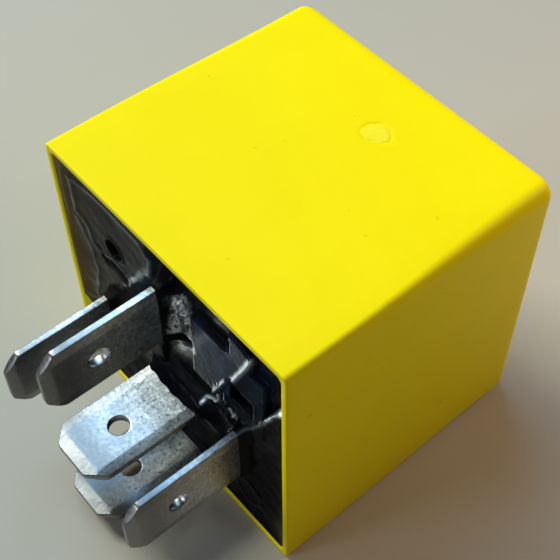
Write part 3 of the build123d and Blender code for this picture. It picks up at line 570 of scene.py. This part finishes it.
def tongue(x, z):
    """Thin skin that crept further up the middle of the resting blade's upper side."""
    low, high = tip_boxes["terminal_87a"]
    middle, above = (low[0] + high[0]) / 2, z - high[2]
    reach = 0.62 - 0.32 * (np.abs(x - middle) / HALF_WIDTH) ** 2.5 + 0.05 * np.sin(4.1 * x)
    on_it = (np.abs(x - middle) < HALF_WIDTH) * smooth_step(-0.5, -0.1, above)
    return LEVEL + (reach - LEVEL) * on_it * np.exp(-np.clip(above, 0, 9) / 0.6)


def wall_climb(x, z):
    """Meniscus: exp of minus the distance to each wall over a length, higher along the left."""
    to_side = CAVITY_HALF[0] - np.abs(x)
    to_end = CAVITY_HALF[1] - np.abs(z - COVER_MIDDLE)
    lift = 0.30 * np.exp(-to_side / 0.35) + 0.30 * np.exp(-to_end / 0.35)
    lift += 0.25 * np.exp(-(x + CAVITY_HALF[0]) / 0.9)
    return lift + 0.25 * np.exp(-(x + CAVITY_HALF[0]) / 1.2) * smooth_step(16.5, 21.5, z)


# %% [markdown]
# The marks that the skin carries are kept as named paths, because both the relief and the finish
# need them: a wrinkle stands up a little and carries a painted highlight on its crest.

# %% Marks in the skin
WRINKLES = (
    ((-11.75, 24.6), (-11.75, 23.8), (-11.8, 20.8), (-10.6, 20.1), (-10.1, 18.4), (-9.5, 17.6),
     (-7.6, 18.5), (-6.0, 18.3)),
    ((-11.9, 19.9), (-10.6, 16.6), (-10.35, 14.2), (-11.3, 10.5), (-11.0, 9.8)),
    ((-11.6, 24.6), (-6.5, 24.75), (-3.0, 24.6), (-1.95, 23.6), (-2.15, 21.5)),
)
RIDGE = ((9.75, 23.75), (9.2, 22.4), (7.75, 19.2))
FOLD = ((6.9, 18.2), (6.5, 17.4), (5.5, 15.4), (4.9, 13.9))
HOLLOW_RIM = ((-2.3, 13.3), (-1.1, 14.9), (0.2, 15.8), (1.5, 16.2), (2.35, 16.7))
SECOND_RIM = ((2.9, 10.1), (3.3, 11.1), (3.9, 11.7), (4.6, 12.0))
RIGHT_EDGE = ((13.0, 22.0), (12.1, 19.6), (11.0, 17.3), (9.2, 14.3), (7.3, 11.5))
STROKES = (
    ((5.45, 14.9), (5.6, 14.1), (6.2, 13.2), (6.8, 12.3)), ((6.0, 15.4), (6.6, 14.6), (6.9, 13.6)),
    ((6.9, 12.9), (6.8, 12.5)), ((2.95, 9.25), (2.9, 9.0)), ((7.4, 13.1), (7.1, 12.4)),
)
LEGS = (
    ((1.1, 22.1), (1.0, 20.4), (0.8, 17.9)),
    ((1.6, 22.3), (2.25, 21.0), (2.55, 19.1), (2.95, 17.7)),
)
VENT = (-7.0, 20.1)
CRACK = ((-9.45, 18.1), (-8.5, 17.35), (-7.3, 17.75), (-6.2, 17.35))


def lower_right(x, z):
    """One on the plain at lower right, below the edge's slanted line, and nought elsewhere."""
    below = 11.5 + 1.8 * (x - 7.3) - z
    return smooth_step(-0.35, 0.35, below) * smooth_step(5.2, 6.6, x)


def block(x, z):
    """The raised block's smooth top, over the base plate's own block: one between its edges."""
    main = ledge(x, z, (6.95, 18.4), (4.27, 3.42), 0.2)
    arm = ledge(x, z, (8.3, 22.4), (1.5, 1.9), 0.3, -12)
    return np.maximum(main, arm)


def painted_blue_reflection_area(x, z):
    """The part of the block given a painted blue reflection: left of the ridge and the fold."""
    return np.maximum(
        ledge(x, z, (5.2, 18.5), (2.3, 3.0), 0.3, -6),
        ledge(x, z, (8.0, 21.9), (1.2, 2.2), 0.35, -16),
    )


def patch(x, z):
    """The rough patch beside the common blade: two crumpled legs that spread downwards."""
    left, right = (path_distance(x, z, leg) for leg in LEGS)
    return np.maximum(np.exp(-((left / 0.26) ** 4)), np.exp(-((right / 0.32) ** 4)))


def between_legs(x, z):
    """One in the wedge between the legs, nought outside it."""
    return ledge(x, z, (1.6 + 0.09 * (20.6 - z), 20.0), (0.75, 2.3), 0.3)


def hollow(x, z):
    """One in the deep hollow above the resting blade: inside an ellipse and left of the folds."""
    around = np.hypot((x - 2.6) / 4.6, (z - 12.0) / 4.1)
    return (1 - smooth_step(0.86, 1.0, around)) * (1 - smooth_step(3.3, 4.0, x + 0.25 * (11 - z)))


# %% The relief of the compound
BAND_RISE = 0.75
LEFT_RISE = 0.55
LOWER_RIGHT_RISE = 0.62
VENT_DEPTH = 1.6
CRACK_DEPTH = 0.45
HOLLOW_DEPTH = 1.15
BORDER_WIDTH = 0.8
BORDER_TOP = -0.12


def compound_height(x, z):
    """Height above the rim: the level, then each region's forms, then what climbs the blades."""
    height = LEVEL + 0.035 * ripple(x, z, 6.0, 11) + 0.010 * ripple(x, z, 1.7, 12)
    height += wall_climb(x, z)
    low_band = smooth_step(7.0, 1.5, z)
    left = smooth_step(-0.6, -2.4, x) * smooth_step(7.0, 9.5, z)
    height += BAND_RISE * low_band + LEFT_RISE * left
    height += LOWER_RIGHT_RISE * (1 - low_band) * lower_right(x, z)
    for path in WRINKLES:
        height += 0.07 * crease(x, z, path, 0.16) + 0.05 * crease(x, z, path, 0.5)
    pit = np.hypot(x - VENT[0], z - VENT[1])
    height -= VENT_DEPTH * (1 - smooth_step(0.80, 1.0, pit))
    height += 0.10 * np.exp(-((pit - 1.15) / 0.18) ** 2)
    height -= CRACK_DEPTH * crease(x, z, CRACK, 0.30)
    height -= HOLLOW_DEPTH * hollow(x, z)
    # The block, its recesses, and the ridge and fold beside it
    top = np.clip(-0.34 - 0.045 * (z - 18.5), -0.47, 0)
    raised = block(x, z)
    block_height = np.where(raised > 0.01, LEVEL + (top - LEVEL) * raised, -9)
    height = smooth_max(height, block_height, 0.03)
    height -= 0.75 * ledge(x, z, (5.5, 22.95), (1.75, 0.72), 0.12, -6)
    height -= 0.80 * ledge(x, z, (8.6, 17.5), (1.2, 0.9), 0.12)
    height += 0.16 * crease(x, z, RIDGE, 0.24) + 0.20 * crease(x, z, FOLD, 0.16)
    height += 0.12 * crease(x, z, ((11.5, 24.3), (12.1, 22.4), (11.3, 20.3)), 0.25)
    height += 0.20 * crease(x, z, RIGHT_EDGE[:3], 0.22) + 0.10 * crease(x, z, RIGHT_EDGE[2:], 0.25)
    # The rough patch: its legs stand up and are crumpled
    crumpled = patch(x, z) * (0.32 + 0.15 * ripple(x, z, 0.5, 21))
    height = np.maximum(height, LEVEL + 0.42 * between_legs(x, z) + crumpled)
    height -= 0.4 * hill(x, z, (2.4, 19.9), (0.14, 0.14))
    # The rims of the hollow above the resting blade, and the folds beside it
    height += 0.42 * crease(x, z, HOLLOW_RIM, 0.16) + 0.30 * crease(x, z, SECOND_RIM, 0.15)
    folds = hill(x, z, (6.6, 14.9), (1.0, 1.3)) + 0.5 * hill(x, z, (5.6, 11.8), (1.6, 1.6))
    height += folds * (0.28 * np.abs(ripple(x, z, 1.5, 31)) + 0.08 * ripple(x, z, 0.6, 32))
    for path in STROKES:
        height += 0.20 * crease(x, z, path, 0.12)
    # The faint ring in the plain lower right
    ring = np.abs(np.hypot(x - 8.9, (z - 3.9) * 1.1) - 1.5)
    height += 0.05 * np.exp(-((ring / 0.2) ** 2))
    # Beside the walls the skin stays behind the rim
    to_wall = np.minimum(CAVITY_HALF[0] - np.abs(x), CAVITY_HALF[1] - np.abs(z - COVER_MIDDLE))
    height = np.where(to_wall < BORDER_WIDTH, np.minimum(height, BORDER_TOP), height)
    return smooth_max(smooth_max(height, climb(x, z), 0.05), tongue(x, z), 0.03)


# %% [markdown]
# The finish needs to know where it is: the left skin is grey, except where it is left black as
# painted shade in the vent and the crack; the block carries a painted blue reflection, the crests
# painted highlights, and the skin beside the wall a painted reflection of the yellow wall; the
# rough patch holds light residue, painted bright as glints. Five numbers for each point say how
# much of each there is, and the shader reads them as attributes.

# %% What the finish should know
def compound_marks(x, z):
    """Five masks from 0 to 1: grey skin, painted blue reflection, painted crest highlights,
    painted reflection of the yellow wall, and the rough patch with painted glints.
    """
    grey_film_and_painted_shade = smooth_step(-0.6, -2.6, x + 0.25 * (20 - z) * (z < 20)) * smooth_step(5.0, 9.0, z)
    # Painted blue reflection on the block, weaker towards the right.
    blue = painted_blue_reflection_area(x, z) * smooth_step(14.2, 18.5, z) * (1 - 0.35 * smooth_step(4.5, 8.5, x))
    # Painted shade: the grey is taken out in the vent and the crack, which are left black.
    grey_film_and_painted_shade *= smooth_step(0.9, 1.15, np.hypot(x - VENT[0], z - VENT[1]))
    grey_film_and_painted_shade *= 1 - 0.9 * crease(x, z, CRACK, 0.33)
    # More painted blue reflection: on the block's right part and beside the common blade, where the
    # grey gives way to it.
    blue = np.maximum(blue, 0.30 * ledge(x, z, (10.6, 21.4), (1.2, 2.6), 0.6, -10))
    blue = np.maximum(blue, 0.6 * hill(x, z, (-3.7, 19.8), (2.4, 0.8), 50))
    grey_film_and_painted_shade *= 1 - 0.7 * hill(x, z, (-3.3, 19.6), (2.6, 0.9), 50)
    # Painted highlights on the crests of the wrinkles, ridges, folds, rims and strokes, stronger in
    # some stretches than in others.
    painted_crest_highlight = np.zeros(x.shape)
    highlight_variation = 0.4 + 0.6 * smooth_step(-0.5, 0.6, ripple(x, z, 3.0, 42))
    for path in WRINKLES:
        painted_crest_highlight = np.maximum(painted_crest_highlight, 0.26 * crease(x, z, path, 0.15) * highlight_variation)
    broken = 0.25 + 0.75 * smooth_step(-0.6, 0.7, ripple(x, z, 1.8, 41))
    for path, amount, width in (
        (RIDGE, 0.55, 0.16), (FOLD, 0.6 * broken, 0.11), (RIGHT_EDGE[:3], 0.6 * broken, 0.14),
        (RIGHT_EDGE[2:], 0.10, 0.14), (HOLLOW_RIM, 1.0, 0.14), (SECOND_RIM, 1.0, 0.12),
        *((path, 1.0, 0.09) for path in STROKES),
    ):
        painted_crest_highlight = np.maximum(painted_crest_highlight, amount * crease(x, z, path, width))
    # Painted reflection of the yellow wall in the skin beside it.
    painted_wall_reflection = np.exp(-(x + CAVITY_HALF[0]) / 1.1) * smooth_step(5, 12, z)
    painted_wall_reflection = np.maximum(painted_wall_reflection, 0.6 * hill(x, z, (-12.4, 14.0), (0.8, 3.0)))
    # Painted blue reflection also in the wedge between the legs.
    blue = np.maximum(blue, 0.7 * between_legs(x, z))
    # The rough patch: light residue that the finish also paints bright as glints.
    rough = np.maximum(patch(x, z), 0.30 * between_legs(x, z))
    return {"grey_film_and_painted_shade": grey_film_and_painted_shade, "blue": np.clip(blue, 0, 1), "painted_crest_highlight": painted_crest_highlight, "painted_wall_reflection": painted_wall_reflection, "patch": rough}


# %% The compound as a piece
ACROSS, UPWARD = 292, 276
HIGHEST = 1.7
SHOULDER_DEPTH = 0.9
BEVEL_REACH = 0.42
BORDER_BLEND = 0.9
x_line = np.linspace(-CAVITY_HALF[0], CAVITY_HALF[0], ACROSS)
z_line = np.linspace(COVER_MIDDLE - CAVITY_HALF[1], COVER_MIDDLE + CAVITY_HALF[1], UPWARD)
x_grid, z_grid = np.meshgrid(x_line, z_line)
skin_height = np.minimum(compound_height(x_grid, z_grid), HIGHEST)
print("compound above the rim:", skin_height.min().round(2), "to", skin_height.max().round(2), "mm")


def to_bevel(place, middle, half):
    """Moves the border outwards along the mouth's 45 degree bevel, as far as it stands above it."""
    spread = np.clip(skin_height + WALL - LIP, 0, BEVEL_REACH)
    away = place - middle
    return place + np.sign(away) * spread * smooth_step(half - BORDER_BLEND, half, np.abs(away))


surface = np.stack([
    to_bevel(x_grid, 0, CAVITY_HALF[0]),
    RIM - skin_height,
    to_bevel(z_grid, COVER_MIDDLE, CAVITY_HALF[1]),
], axis=-1).reshape(-1, 3)
numbers = np.arange(UPWARD * ACROSS).reshape(UPWARD, ACROSS)
border = np.concatenate([numbers[0, :-1], numbers[:-1, -1], numbers[-1, :0:-1], numbers[:0:-1, 0]])
shoulder, under = surface[border].copy(), surface[border].copy()
for ring, depth in ((shoulder, RIM + SHOULDER_DEPTH), (under, potting_high[1])):
    ring[:, 0] = np.clip(ring[:, 0], -CAVITY_HALF[0], CAVITY_HALF[0])
    ring[:, 2] = np.clip(ring[:, 2], COVER_MIDDLE - CAVITY_HALF[1], COVER_MIDDLE + CAVITY_HALF[1])
    ring[:, 1] = depth
first, second = len(surface), len(surface) + len(border)
side_quads = [
    np.stack([upper, np.roll(upper, -1), np.roll(lower, -1), lower], axis=-1)
    for upper, lower in ((border, first + np.arange(len(border))),
                         (first + np.arange(len(border)), second + np.arange(len(border))))
]
compound_mesh = new_mesh("compound_skin", np.concatenate([
    surface, shoulder, under, [[0, potting_high[1], COVER_MIDDLE]],
]), [
    grid_faces(UPWARD, ACROSS)[:, ::-1],
    *side_quads,
    fan(second + np.arange(len(border)), second + len(border)),
], sharp=70)
for mark, values in compound_marks(x_grid, z_grid).items():
    set_mark(compound_mesh, mark, values)
compound_piece = new_piece("compound_skin", compound_mesh, "black_compound", "potting")


# %% [markdown]
# ## Finishes
#
# Every finish is a small network on one Principled shader. Textures read Object coordinates, which
# are metres here, so a scale of 1000 gives spots about a millimetre wide. A helper adds a node and
# sets its inputs, and the others cover what the finishes need: noise, a ramp, a mark that the mesh
# carries, a blend of two colours, a product, a change of range and a bump.

# %% Helpers for finishes
def add_node(tree, kind, inputs=None, **settings):
    """New shader node with its settings and the values of its inputs."""
    made = tree.nodes.new(kind)
    for name, value in settings.items():
        setattr(made, name, value)
    for name, value in (inputs or {}).items():
        made.inputs[name].default_value = value
    return made


def new_finish(name, **sockets):
    """Material with one Principled shader; a socket's name is written with _ for a space."""
    material = bpy.data.materials.new(name)
    material.use_nodes = True
    shader = material.node_tree.nodes["Principled BSDF"]
    for socket, value in sockets.items():
        shader.inputs[socket.replace("_", " ")].default_value = value
    return material, material.node_tree, shader


def place_on_piece(tree, stretch=(1, 1, 1), turn=(0, 0, 0)):
    """Object coordinates, scaled by a factor for each axis and turned by angles in radians."""
    coordinates = add_node(tree, "ShaderNodeTexCoord")
    mapping = add_node(tree, "ShaderNodeMapping", {"Scale": stretch, "Rotation": turn})
    tree.links.new(coordinates.outputs["Object"], mapping.inputs["Vector"])
    return mapping.outputs["Vector"]


def along_axis(tree, where, axis):
    """One coordinate of a place, in metres."""
    split = add_node(tree, "ShaderNodeSeparateXYZ")
    tree.links.new(where, split.inputs["Vector"])
    return split.outputs[axis]


def noise(tree, where, scale, detail=3.0, roughness=0.5, distortion=0.0):
    """Value of a noise with this many spots to the metre."""
    made = add_node(tree, "ShaderNodeTexNoise", {
        "Scale": scale, "Detail": detail, "Roughness": roughness, "Distortion": distortion,
    })
    tree.links.new(where, made.inputs["Vector"])
    return made.outputs["Fac"]


def ramp(tree, value, *stops):
    """Colours at stops along a value; each stop is (position, (red, green, blue))."""
    made = add_node(tree, "ShaderNodeValToRGB")
    elements = made.color_ramp.elements
    while len(elements) < len(stops):
        elements.new(0.5)
    for element, (position, tint) in zip(elements, stops):
        element.position = position
        element.color = (*tint, 1)
    tree.links.new(value, made.inputs["Fac"])
    return made.outputs["Color"]


def mark_value(tree, name):
    """Value that the mesh carries at each point under this name."""
    return add_node(tree, "ShaderNodeAttribute", attribute_name=name).outputs["Fac"]


def blend(tree, factor, below, above):
    """Colour that goes from the one below to the one above as the factor grows."""
    made = add_node(tree, "ShaderNodeMix", data_type="RGBA")
    tree.links.new(factor, made.inputs["Factor"])
    for socket, value in ((made.inputs[6], below), (made.inputs[7], above)):
        if isinstance(value, tuple):
            socket.default_value = (*value, 1)
        else:
            tree.links.new(value, socket)
    return made.outputs[2]


def times(tree, one, other):
    """Product of two values."""
    made = add_node(tree, "ShaderNodeMath", operation="MULTIPLY")
    tree.links.new(one, made.inputs[0])
    if isinstance(other, float):
        made.inputs[1].default_value = other
    else:
        tree.links.new(other, made.inputs[1])
    return made.outputs["Value"]


def level_map(tree, value, low, high, to_low, to_high):
    """Value moved from one range into another and kept inside it."""
    made = add_node(tree, "ShaderNodeMapRange", {
        "From Min": low, "From Max": high, "To Min": to_low, "To Max": to_high,
    })
    tree.links.new(value, made.inputs["Value"])
    return made.outputs["Result"]


def bump(tree, shader, height, depth, below=None):
    """Bumps of this depth in metres on the shader's normal, on top of an earlier bump if given."""
    made = add_node(tree, "ShaderNodeBump", {"Strength": 1.0, "Distance": depth})
    tree.links.new(height, made.inputs["Height"])
    if below is not None:
        tree.links.new(below, made.inputs["Normal"])
    tree.links.new(made.outputs["Normal"], shader.inputs["Normal"])
    return made.outputs["Normal"]


def colour(red, green, blue):
    """Linear colour from the 0 to 255 values that a screen shows."""
    value = np.array([red, green, blue]) / 255
    curve = ((value + 0.055) / 1.055) ** 2.4
    return tuple(np.where(value <= 0.04045, value / 12.92, curve).tolist())


# %% [markdown]
# The cover is a saturated yellow plastic with a satin skin. Its colour hardly changes, so the
# finish lives in its gloss: a fine orange peel from the mould, a broad unevenness in roughness,
# and a few dull specks. The gate's disc is a little paler.

# %% Yellow cover
def yellow_cover():
    """Satin yellow plastic with orange peel and faint specks."""
    material, tree, shader = new_finish("yellow_cover", Specular_IOR_Level=0.06)
    where = place_on_piece(tree)
    tone = ramp(
        tree, noise(tree, where, 90, 4, 0.55),
        (0.3, (0.91, 0.755, 0.002)), (0.7, (0.95, 0.79, 0.0025)),
    )
    specks = noise(tree, where, 900, 2, 0.4)
    speck_mask = level_map(tree, specks, 0.74, 0.78, 0.0, 0.35)
    tone = blend(tree, speck_mask, tone, colour(205, 180, 10))
    tone = blend(tree, times(tree, mark_value(tree, "gate"), 0.7), tone, (0.93, 0.80, 0.040))
    tree.links.new(tone, shader.inputs["Base Color"])
    gloss = level_map(tree, noise(tree, where, 260, 5, 0.6), 0.3, 0.7, 0.34, 0.46)
    tree.links.new(gloss, shader.inputs["Roughness"])
    peel = bump(tree, shader, noise(tree, where, 1500, 3, 0.5), 0.000012)
    bump(tree, shader, noise(tree, where, 160, 2, 0.4), 0.00004, peel)
    return material


# %% [markdown]
# The compound is nearly black and glossy. The relief makes some of its highlights, and the marks
# say
# where its colour changes: a grey film with painted shade in the vent and the crack, a painted blue
# reflection, a painted reflection of the yellow wall beside it, painted highlights on the crests,
# and light residue in the rough patch, painted bright as glints. Crests and flecks are partly
# metallic, so that they shine.

# %% Black compound
def black_compound():
    """Glossy black resin: grey skin, and painted reflections, highlights and glints."""
    material, tree, shader = new_finish("black_compound", Specular_IOR_Level=0.022)
    where = place_on_piece(tree)
    tone = ramp(
        tree, noise(tree, where, 240, 4, 0.6),
        (0.35, (0.0015, 0.002, 0.004)), (0.7, (0.006, 0.007, 0.010)),
    )
    clouds = level_map(tree, noise(tree, where, 420, 4, 0.6), 0.3, 0.65, 0.45, 1.0)
    # Grey film, left out as painted shade in the vent and the crack.
    tone = blend(tree, times(tree, mark_value(tree, "grey_film_and_painted_shade"), clouds), tone, (0.016, 0.0145, 0.015))
    # Painted blue reflection on the block and beside the common blade.
    tone = blend(tree, times(tree, mark_value(tree, "blue"), clouds), tone, (0.006, 0.020, 0.066))
    # Painted reflection of the yellow wall on the skin beside the left wall.
    tone = blend(tree, times(tree, mark_value(tree, "painted_wall_reflection"), 0.8), tone, (0.15, 0.095, 0.008))
    # Painted highlights on the crests; they are also partly metallic below.
    tone = blend(tree, mark_value(tree, "painted_crest_highlight"), tone, (0.66, 0.76, 0.90))
    uneven = place_on_piece(tree, (1, 1, 0.55))
    # Light residue flecks in the rough patch, painted near white to stand in for glints.
    sparkle = level_map(tree, noise(tree, uneven, 3300, 3, 0.6, 0.5), 0.40, 0.52, 0.06, 1.0)
    flecks_and_painted_glints = times(tree, mark_value(tree, "patch"), sparkle)
    tone = blend(tree, flecks_and_painted_glints, tone, (0.90, 0.96, 1.0))
    shiny = add_node(tree, "ShaderNodeMath", operation="MAXIMUM")
    tree.links.new(times(tree, flecks_and_painted_glints, 0.3), shiny.inputs[0])
    tree.links.new(times(tree, mark_value(tree, "painted_crest_highlight"), 0.6), shiny.inputs[1])
    tree.links.new(shiny.outputs["Value"], shader.inputs["Metallic"])
    tree.links.new(tone, shader.inputs["Base Color"])
    gloss = level_map(tree, noise(tree, where, 330, 4, 0.6), 0.35, 0.7, 0.12, 0.30)
    tree.links.new(gloss, shader.inputs["Roughness"])
    bump(tree, shader, noise(tree, where, 900, 3, 0.55, 0.6), 0.00003)
    return material


# %% [markdown]
# Tin plate is bright but never even: it is mottled where the tin flowed, and streaked along the
# strip by the tools. Mottles come from a ramp, streaks from noise that is stretched along the
# blade, and the roughness follows the mottles. In the photograph the blades look dark towards
# their tips, so a painted shade darkens the colour there, between two places along Y.

# %% Tinned strip
PAINTED_SHADE_FROM_Y = -0.0110
PAINTED_SHADE_TO_Y = -0.0160


def tinned_strip():
    """Tin plate: soft mottles, streaks along Y, duller patches, painted shade at the ends and a
    gentle waviness.
    """
    material, tree, shader = new_finish("tinned_strip", Metallic=1.0)
    where = place_on_piece(tree)
    along = place_on_piece(tree, (1, 0.14, 1))
    mottle = noise(tree, where, 3200, 5, 0.7, 0.3)
    streaks = noise(tree, along, 2400, 5, 0.7, 0.4)
    tone = ramp(
        tree, mottle,
        (0.36, (0.36, 0.38, 0.42)), (0.50, (0.56, 0.58, 0.61)), (0.62, (0.84, 0.86, 0.88)),
    )
    tone = blend(tree, level_map(tree, streaks, 0.47, 0.64, 0.0, 0.55), tone, (0.38, 0.40, 0.44))
    patches = noise(tree, where, 520, 4, 0.6, 0.5)
    tone = blend(tree, level_map(tree, patches, 0.46, 0.64, 0.0, 0.45), tone, (0.42, 0.41, 0.40))
    # Painted shade: the colour darkens towards the tips, between two places along Y.
    dark = level_map(tree, along_axis(tree, where, "Y"), PAINTED_SHADE_TO_Y, PAINTED_SHADE_FROM_Y, 0.90, 0.0)
    tone = blend(tree, dark, tone, (0.15, 0.15, 0.155))
    tree.links.new(tone, shader.inputs["Base Color"])
    tree.links.new(level_map(tree, mottle, 0.35, 0.65, 0.27, 0.36), shader.inputs["Roughness"])
    scratches = bump(tree, shader, streaks, 0.000010)
    pits = bump(tree, shader, mottle, 0.0000035, scratches)
    bump(tree, shader, noise(tree, where, 300, 2, 0.5), 0.00003, pits)
    return material


# %% [markdown]
# The cover hides the works, but a reader who takes it off finds each in its own finish: zinc on
# the magnet's steel, enamelled copper, bronze spring leaf, silver contacts and so on. One function
# makes all the metals, and another the plastics, from a colour and how even they are.

# %% Finishes of the hidden pieces
def plain_metal(name, light, dark, gloss, spots=900, depth=0.000008):
    """Metal whose colour and gloss drift between two values, with a fine grain."""
    material, tree, shader = new_finish(name, Metallic=1.0)
    where = place_on_piece(tree)
    drift = noise(tree, where, spots, 4, 0.6)
    tree.links.new(ramp(tree, drift, (0.35, dark), (0.65, light)), shader.inputs["Base Color"])
    uneven = level_map(tree, drift, 0.3, 0.7, gloss, gloss + 0.15)
    tree.links.new(uneven, shader.inputs["Roughness"])
    bump(tree, shader, noise(tree, where, spots * 4, 3, 0.6), depth)
    return material


def plain_plastic(name, light, dark, gloss, spots=500, depth=0.00001):
    """Moulded plastic with a slight drift of colour and a fine texture."""
    material, tree, shader = new_finish(name, Roughness=gloss)
    where = place_on_piece(tree)
    drift = noise(tree, where, spots, 3, 0.5)
    tree.links.new(ramp(tree, drift, (0.35, dark), (0.65, light)), shader.inputs["Base Color"])
    bump(tree, shader, noise(tree, where, spots * 3, 3, 0.5), depth)
    return material


def wound_copper():
    """Enamelled wire: fine turns across the winding's axis, drawn by a wave along Y."""
    material, tree, shader = new_finish("enamelled_copper", Metallic=0.9, Coat_Weight=0.5)
    where = place_on_piece(tree)
    turns = add_node(
        tree, "ShaderNodeTexWave", {"Scale": 1100.0, "Distortion": 0.4, "Detail": 1.0},
        wave_type="BANDS", bands_direction="Y",
    )
    tree.links.new(where, turns.inputs["Vector"])
    tone = ramp(
        tree, turns.outputs["Fac"], (0.1, colour(110, 45, 20)), (0.6, colour(205, 112, 62))
    )
    tree.links.new(tone, shader.inputs["Base Color"])
    gloss = level_map(tree, turns.outputs["Fac"], 0, 1, 0.38, 0.25)
    tree.links.new(gloss, shader.inputs["Roughness"])
    bump(tree, shader, turns.outputs["Fac"], 0.00004)
    return material


def copper_braid():
    """Stranded copper: one wave of diagonal bands, turned and distorted, stands for the plait."""
    material, tree, shader = new_finish("copper_braid", Metallic=1.0, Roughness=0.4)
    where = place_on_piece(tree, turn=(0.6, 0.0, 0.7))
    strands = add_node(
        tree, "ShaderNodeTexWave", {"Scale": 1500.0, "Distortion": 2.0, "Detail": 2.0},
        wave_type="BANDS", bands_direction="DIAGONAL",
    )
    tree.links.new(where, strands.inputs["Vector"])
    tone = ramp(
        tree, strands.outputs["Fac"], (0.15, colour(120, 58, 34)), (0.7, colour(218, 138, 92))
    )
    tree.links.new(tone, shader.inputs["Base Color"])
    bump(tree, shader, strands.outputs["Fac"], 0.00005)
    return material


# Each is (light colour, dark colour, gloss)
METALS = {
    "plated_steel": (colour(205, 207, 210), colour(165, 168, 174), 0.3),
    "spring_bronze": (colour(214, 164, 104), colour(186, 134, 78), 0.28),
    "contact_silver": (colour(228, 226, 220), colour(196, 194, 188), 0.3),
    "spring_steel": (colour(168, 168, 172), colour(128, 128, 134), 0.25),
    "tinned_wire": (colour(214, 215, 217), colour(178, 180, 184), 0.3),
}
PLASTICS = {
    "black_base": ((0.020, 0.020, 0.022), (0.012, 0.012, 0.013), 0.5),
    "white_bobbin": (colour(232, 228, 214), colour(220, 215, 198), 0.45),
    "resistor_body": (colour(150, 190, 208), colour(128, 168, 190), 0.35),
}
finishes = {
    "yellow_cover": yellow_cover(),
    "black_compound": black_compound(),
    "tinned_strip": tinned_strip(),
    "enamelled_copper": wound_copper(),
    "copper_braid": copper_braid(),
    **{name: plain_metal(name, *values) for name, values in METALS.items()},
    **{name: plain_plastic(name, *values) for name, values in PLASTICS.items()},
}
print(len(finishes), "finishes")

# %% Every piece gets its finish
slots = {item["node"]: item["material_slot"] for item in frame["record"]["subparts"]}
for node, item in cad_nodes.items():
    item.data.materials.clear()
    item.data.materials.append(finishes[slots[node]])
for piece, slot in (
    (cover_piece, "yellow_cover"),
    (compound_piece, "black_compound"),
    *((piece, "tinned_strip") for piece in terminal_pieces),
):
    piece.data.materials.clear()
    piece.data.materials.append(finishes[slot])
print("finished:", len(cad_nodes), "nodes")

# %% [markdown]
# ## Studio
#
# The relay lies on a pale floor under four soft lamps. The key stands high, to the left and a
# little in front of the mouth, so the upper side is bright and the right side stays in its shade.
# Lower down, it made the left side clip to one flat yellow. A bluish window lamp stands above, to
# the left and behind, a low one far in front of the mouth, and a weak warm one close by, behind on
# the right. The room itself gives a low even light.

# %% Floor
FLOOR_HALF = 1.2
FLOOR_DROP = 0.00002
floor_corners = [
    (x * FLOOR_HALF, y * FLOOR_HALF, -FLOOR_DROP) for x, y in ((-1, -1), (1, -1), (1, 1), (-1, 1))
]
floor_mesh = bpy.data.meshes.new("floor")
floor_mesh.from_pydata(floor_corners, [], [(0, 1, 2, 3)])
floor = bpy.data.objects.new("floor", floor_mesh)
bpy.context.scene.collection.objects.link(floor)
floor_mesh.materials.append(new_finish(
    "pale_floor", Base_Color=(0.46, 0.43, 0.39, 1), Roughness=0.9, Specular_IOR_Level=0.2
)[0])


# %% Lamps and room
MIDDLE = Vector((0, 0, COVER_MIDDLE * MM))
ROOM_LIGHT = 0.035


def area_lamp(name, place, size, power, tint):
    """Square soft lamp at a place in metres, with its -Z turned to the relay's middle."""
    data = bpy.data.lights.new(name, "AREA")
    data.shape = "SQUARE"
    data.size, data.energy, data.color = size, power, tint
    lamp = bpy.data.objects.new(name, data)
    bpy.context.scene.collection.objects.link(lamp)
    lamp.location = place
    lamp.rotation_euler = (MIDDLE - Vector(place)).to_track_quat("-Z", "Y").to_euler()


area_lamp("key", (-0.325, -0.07, 0.33), 0.15, 2.05, (0.94, 1.0, 0.86))
area_lamp("window", (-0.235, 0.08, 0.44), 0.26, 0.80, (0.40, 0.70, 1.0))
area_lamp("low_window", (-0.126, -0.357, 0.194), 0.12, 0.35, (0.92, 0.96, 1.0))
area_lamp("far_fill", (0.04, 0.072, 0.065), 0.04, 0.034, (1.0, 0.70, 0.45))

world = bpy.data.worlds.new("room")
bpy.context.scene.world = world
world.use_nodes = True
room = world.node_tree.nodes["Background"]
room.inputs["Color"].default_value = (0.90, 0.96, 1.0, 1)
room.inputs["Strength"].default_value = ROOM_LIGHT
bpy.context.scene.view_settings.view_transform = "Standard"

# %% [markdown]
# The camera stands where the photograph was taken from: about 50 degrees round to the right of the
# blades' direction, 52 degrees up and nine centimetres away. Its place and its lens were fitted to
# the edges in the photograph, so the box has the same perspective.

# %% Camera
CAMERA_PLACE = (0.04327, -0.03256, 0.08719)
LOOK = Vector((-0.4692, 0.3915, -0.7916))
RIGHT = Vector((0.6466, 0.7628, -0.0060))
FOCAL_PIXELS = 1125.4
FRAME_PIXELS = 560
SENSOR_WIDTH = 36
camera_data = bpy.data.cameras.new("camera")
camera_data.sensor_width = SENSOR_WIDTH
camera_data.lens = FOCAL_PIXELS / FRAME_PIXELS * SENSOR_WIDTH
camera_data.clip_start = 0.001
camera = bpy.data.objects.new("camera", camera_data)
bpy.context.scene.collection.objects.link(camera)
forward = LOOK.normalized()
right = (RIGHT - forward * RIGHT.dot(forward)).normalized()
up = right.cross(forward)
turn = Matrix((right, up, -forward)).transposed().to_4x4()
camera.matrix_world = Matrix.Translation(CAMERA_PLACE) @ turn
bpy.context.scene.camera = camera
print("lens", round(camera_data.lens, 2), "mm")

# %% The scene brought up to date
bpy.context.view_layer.update()
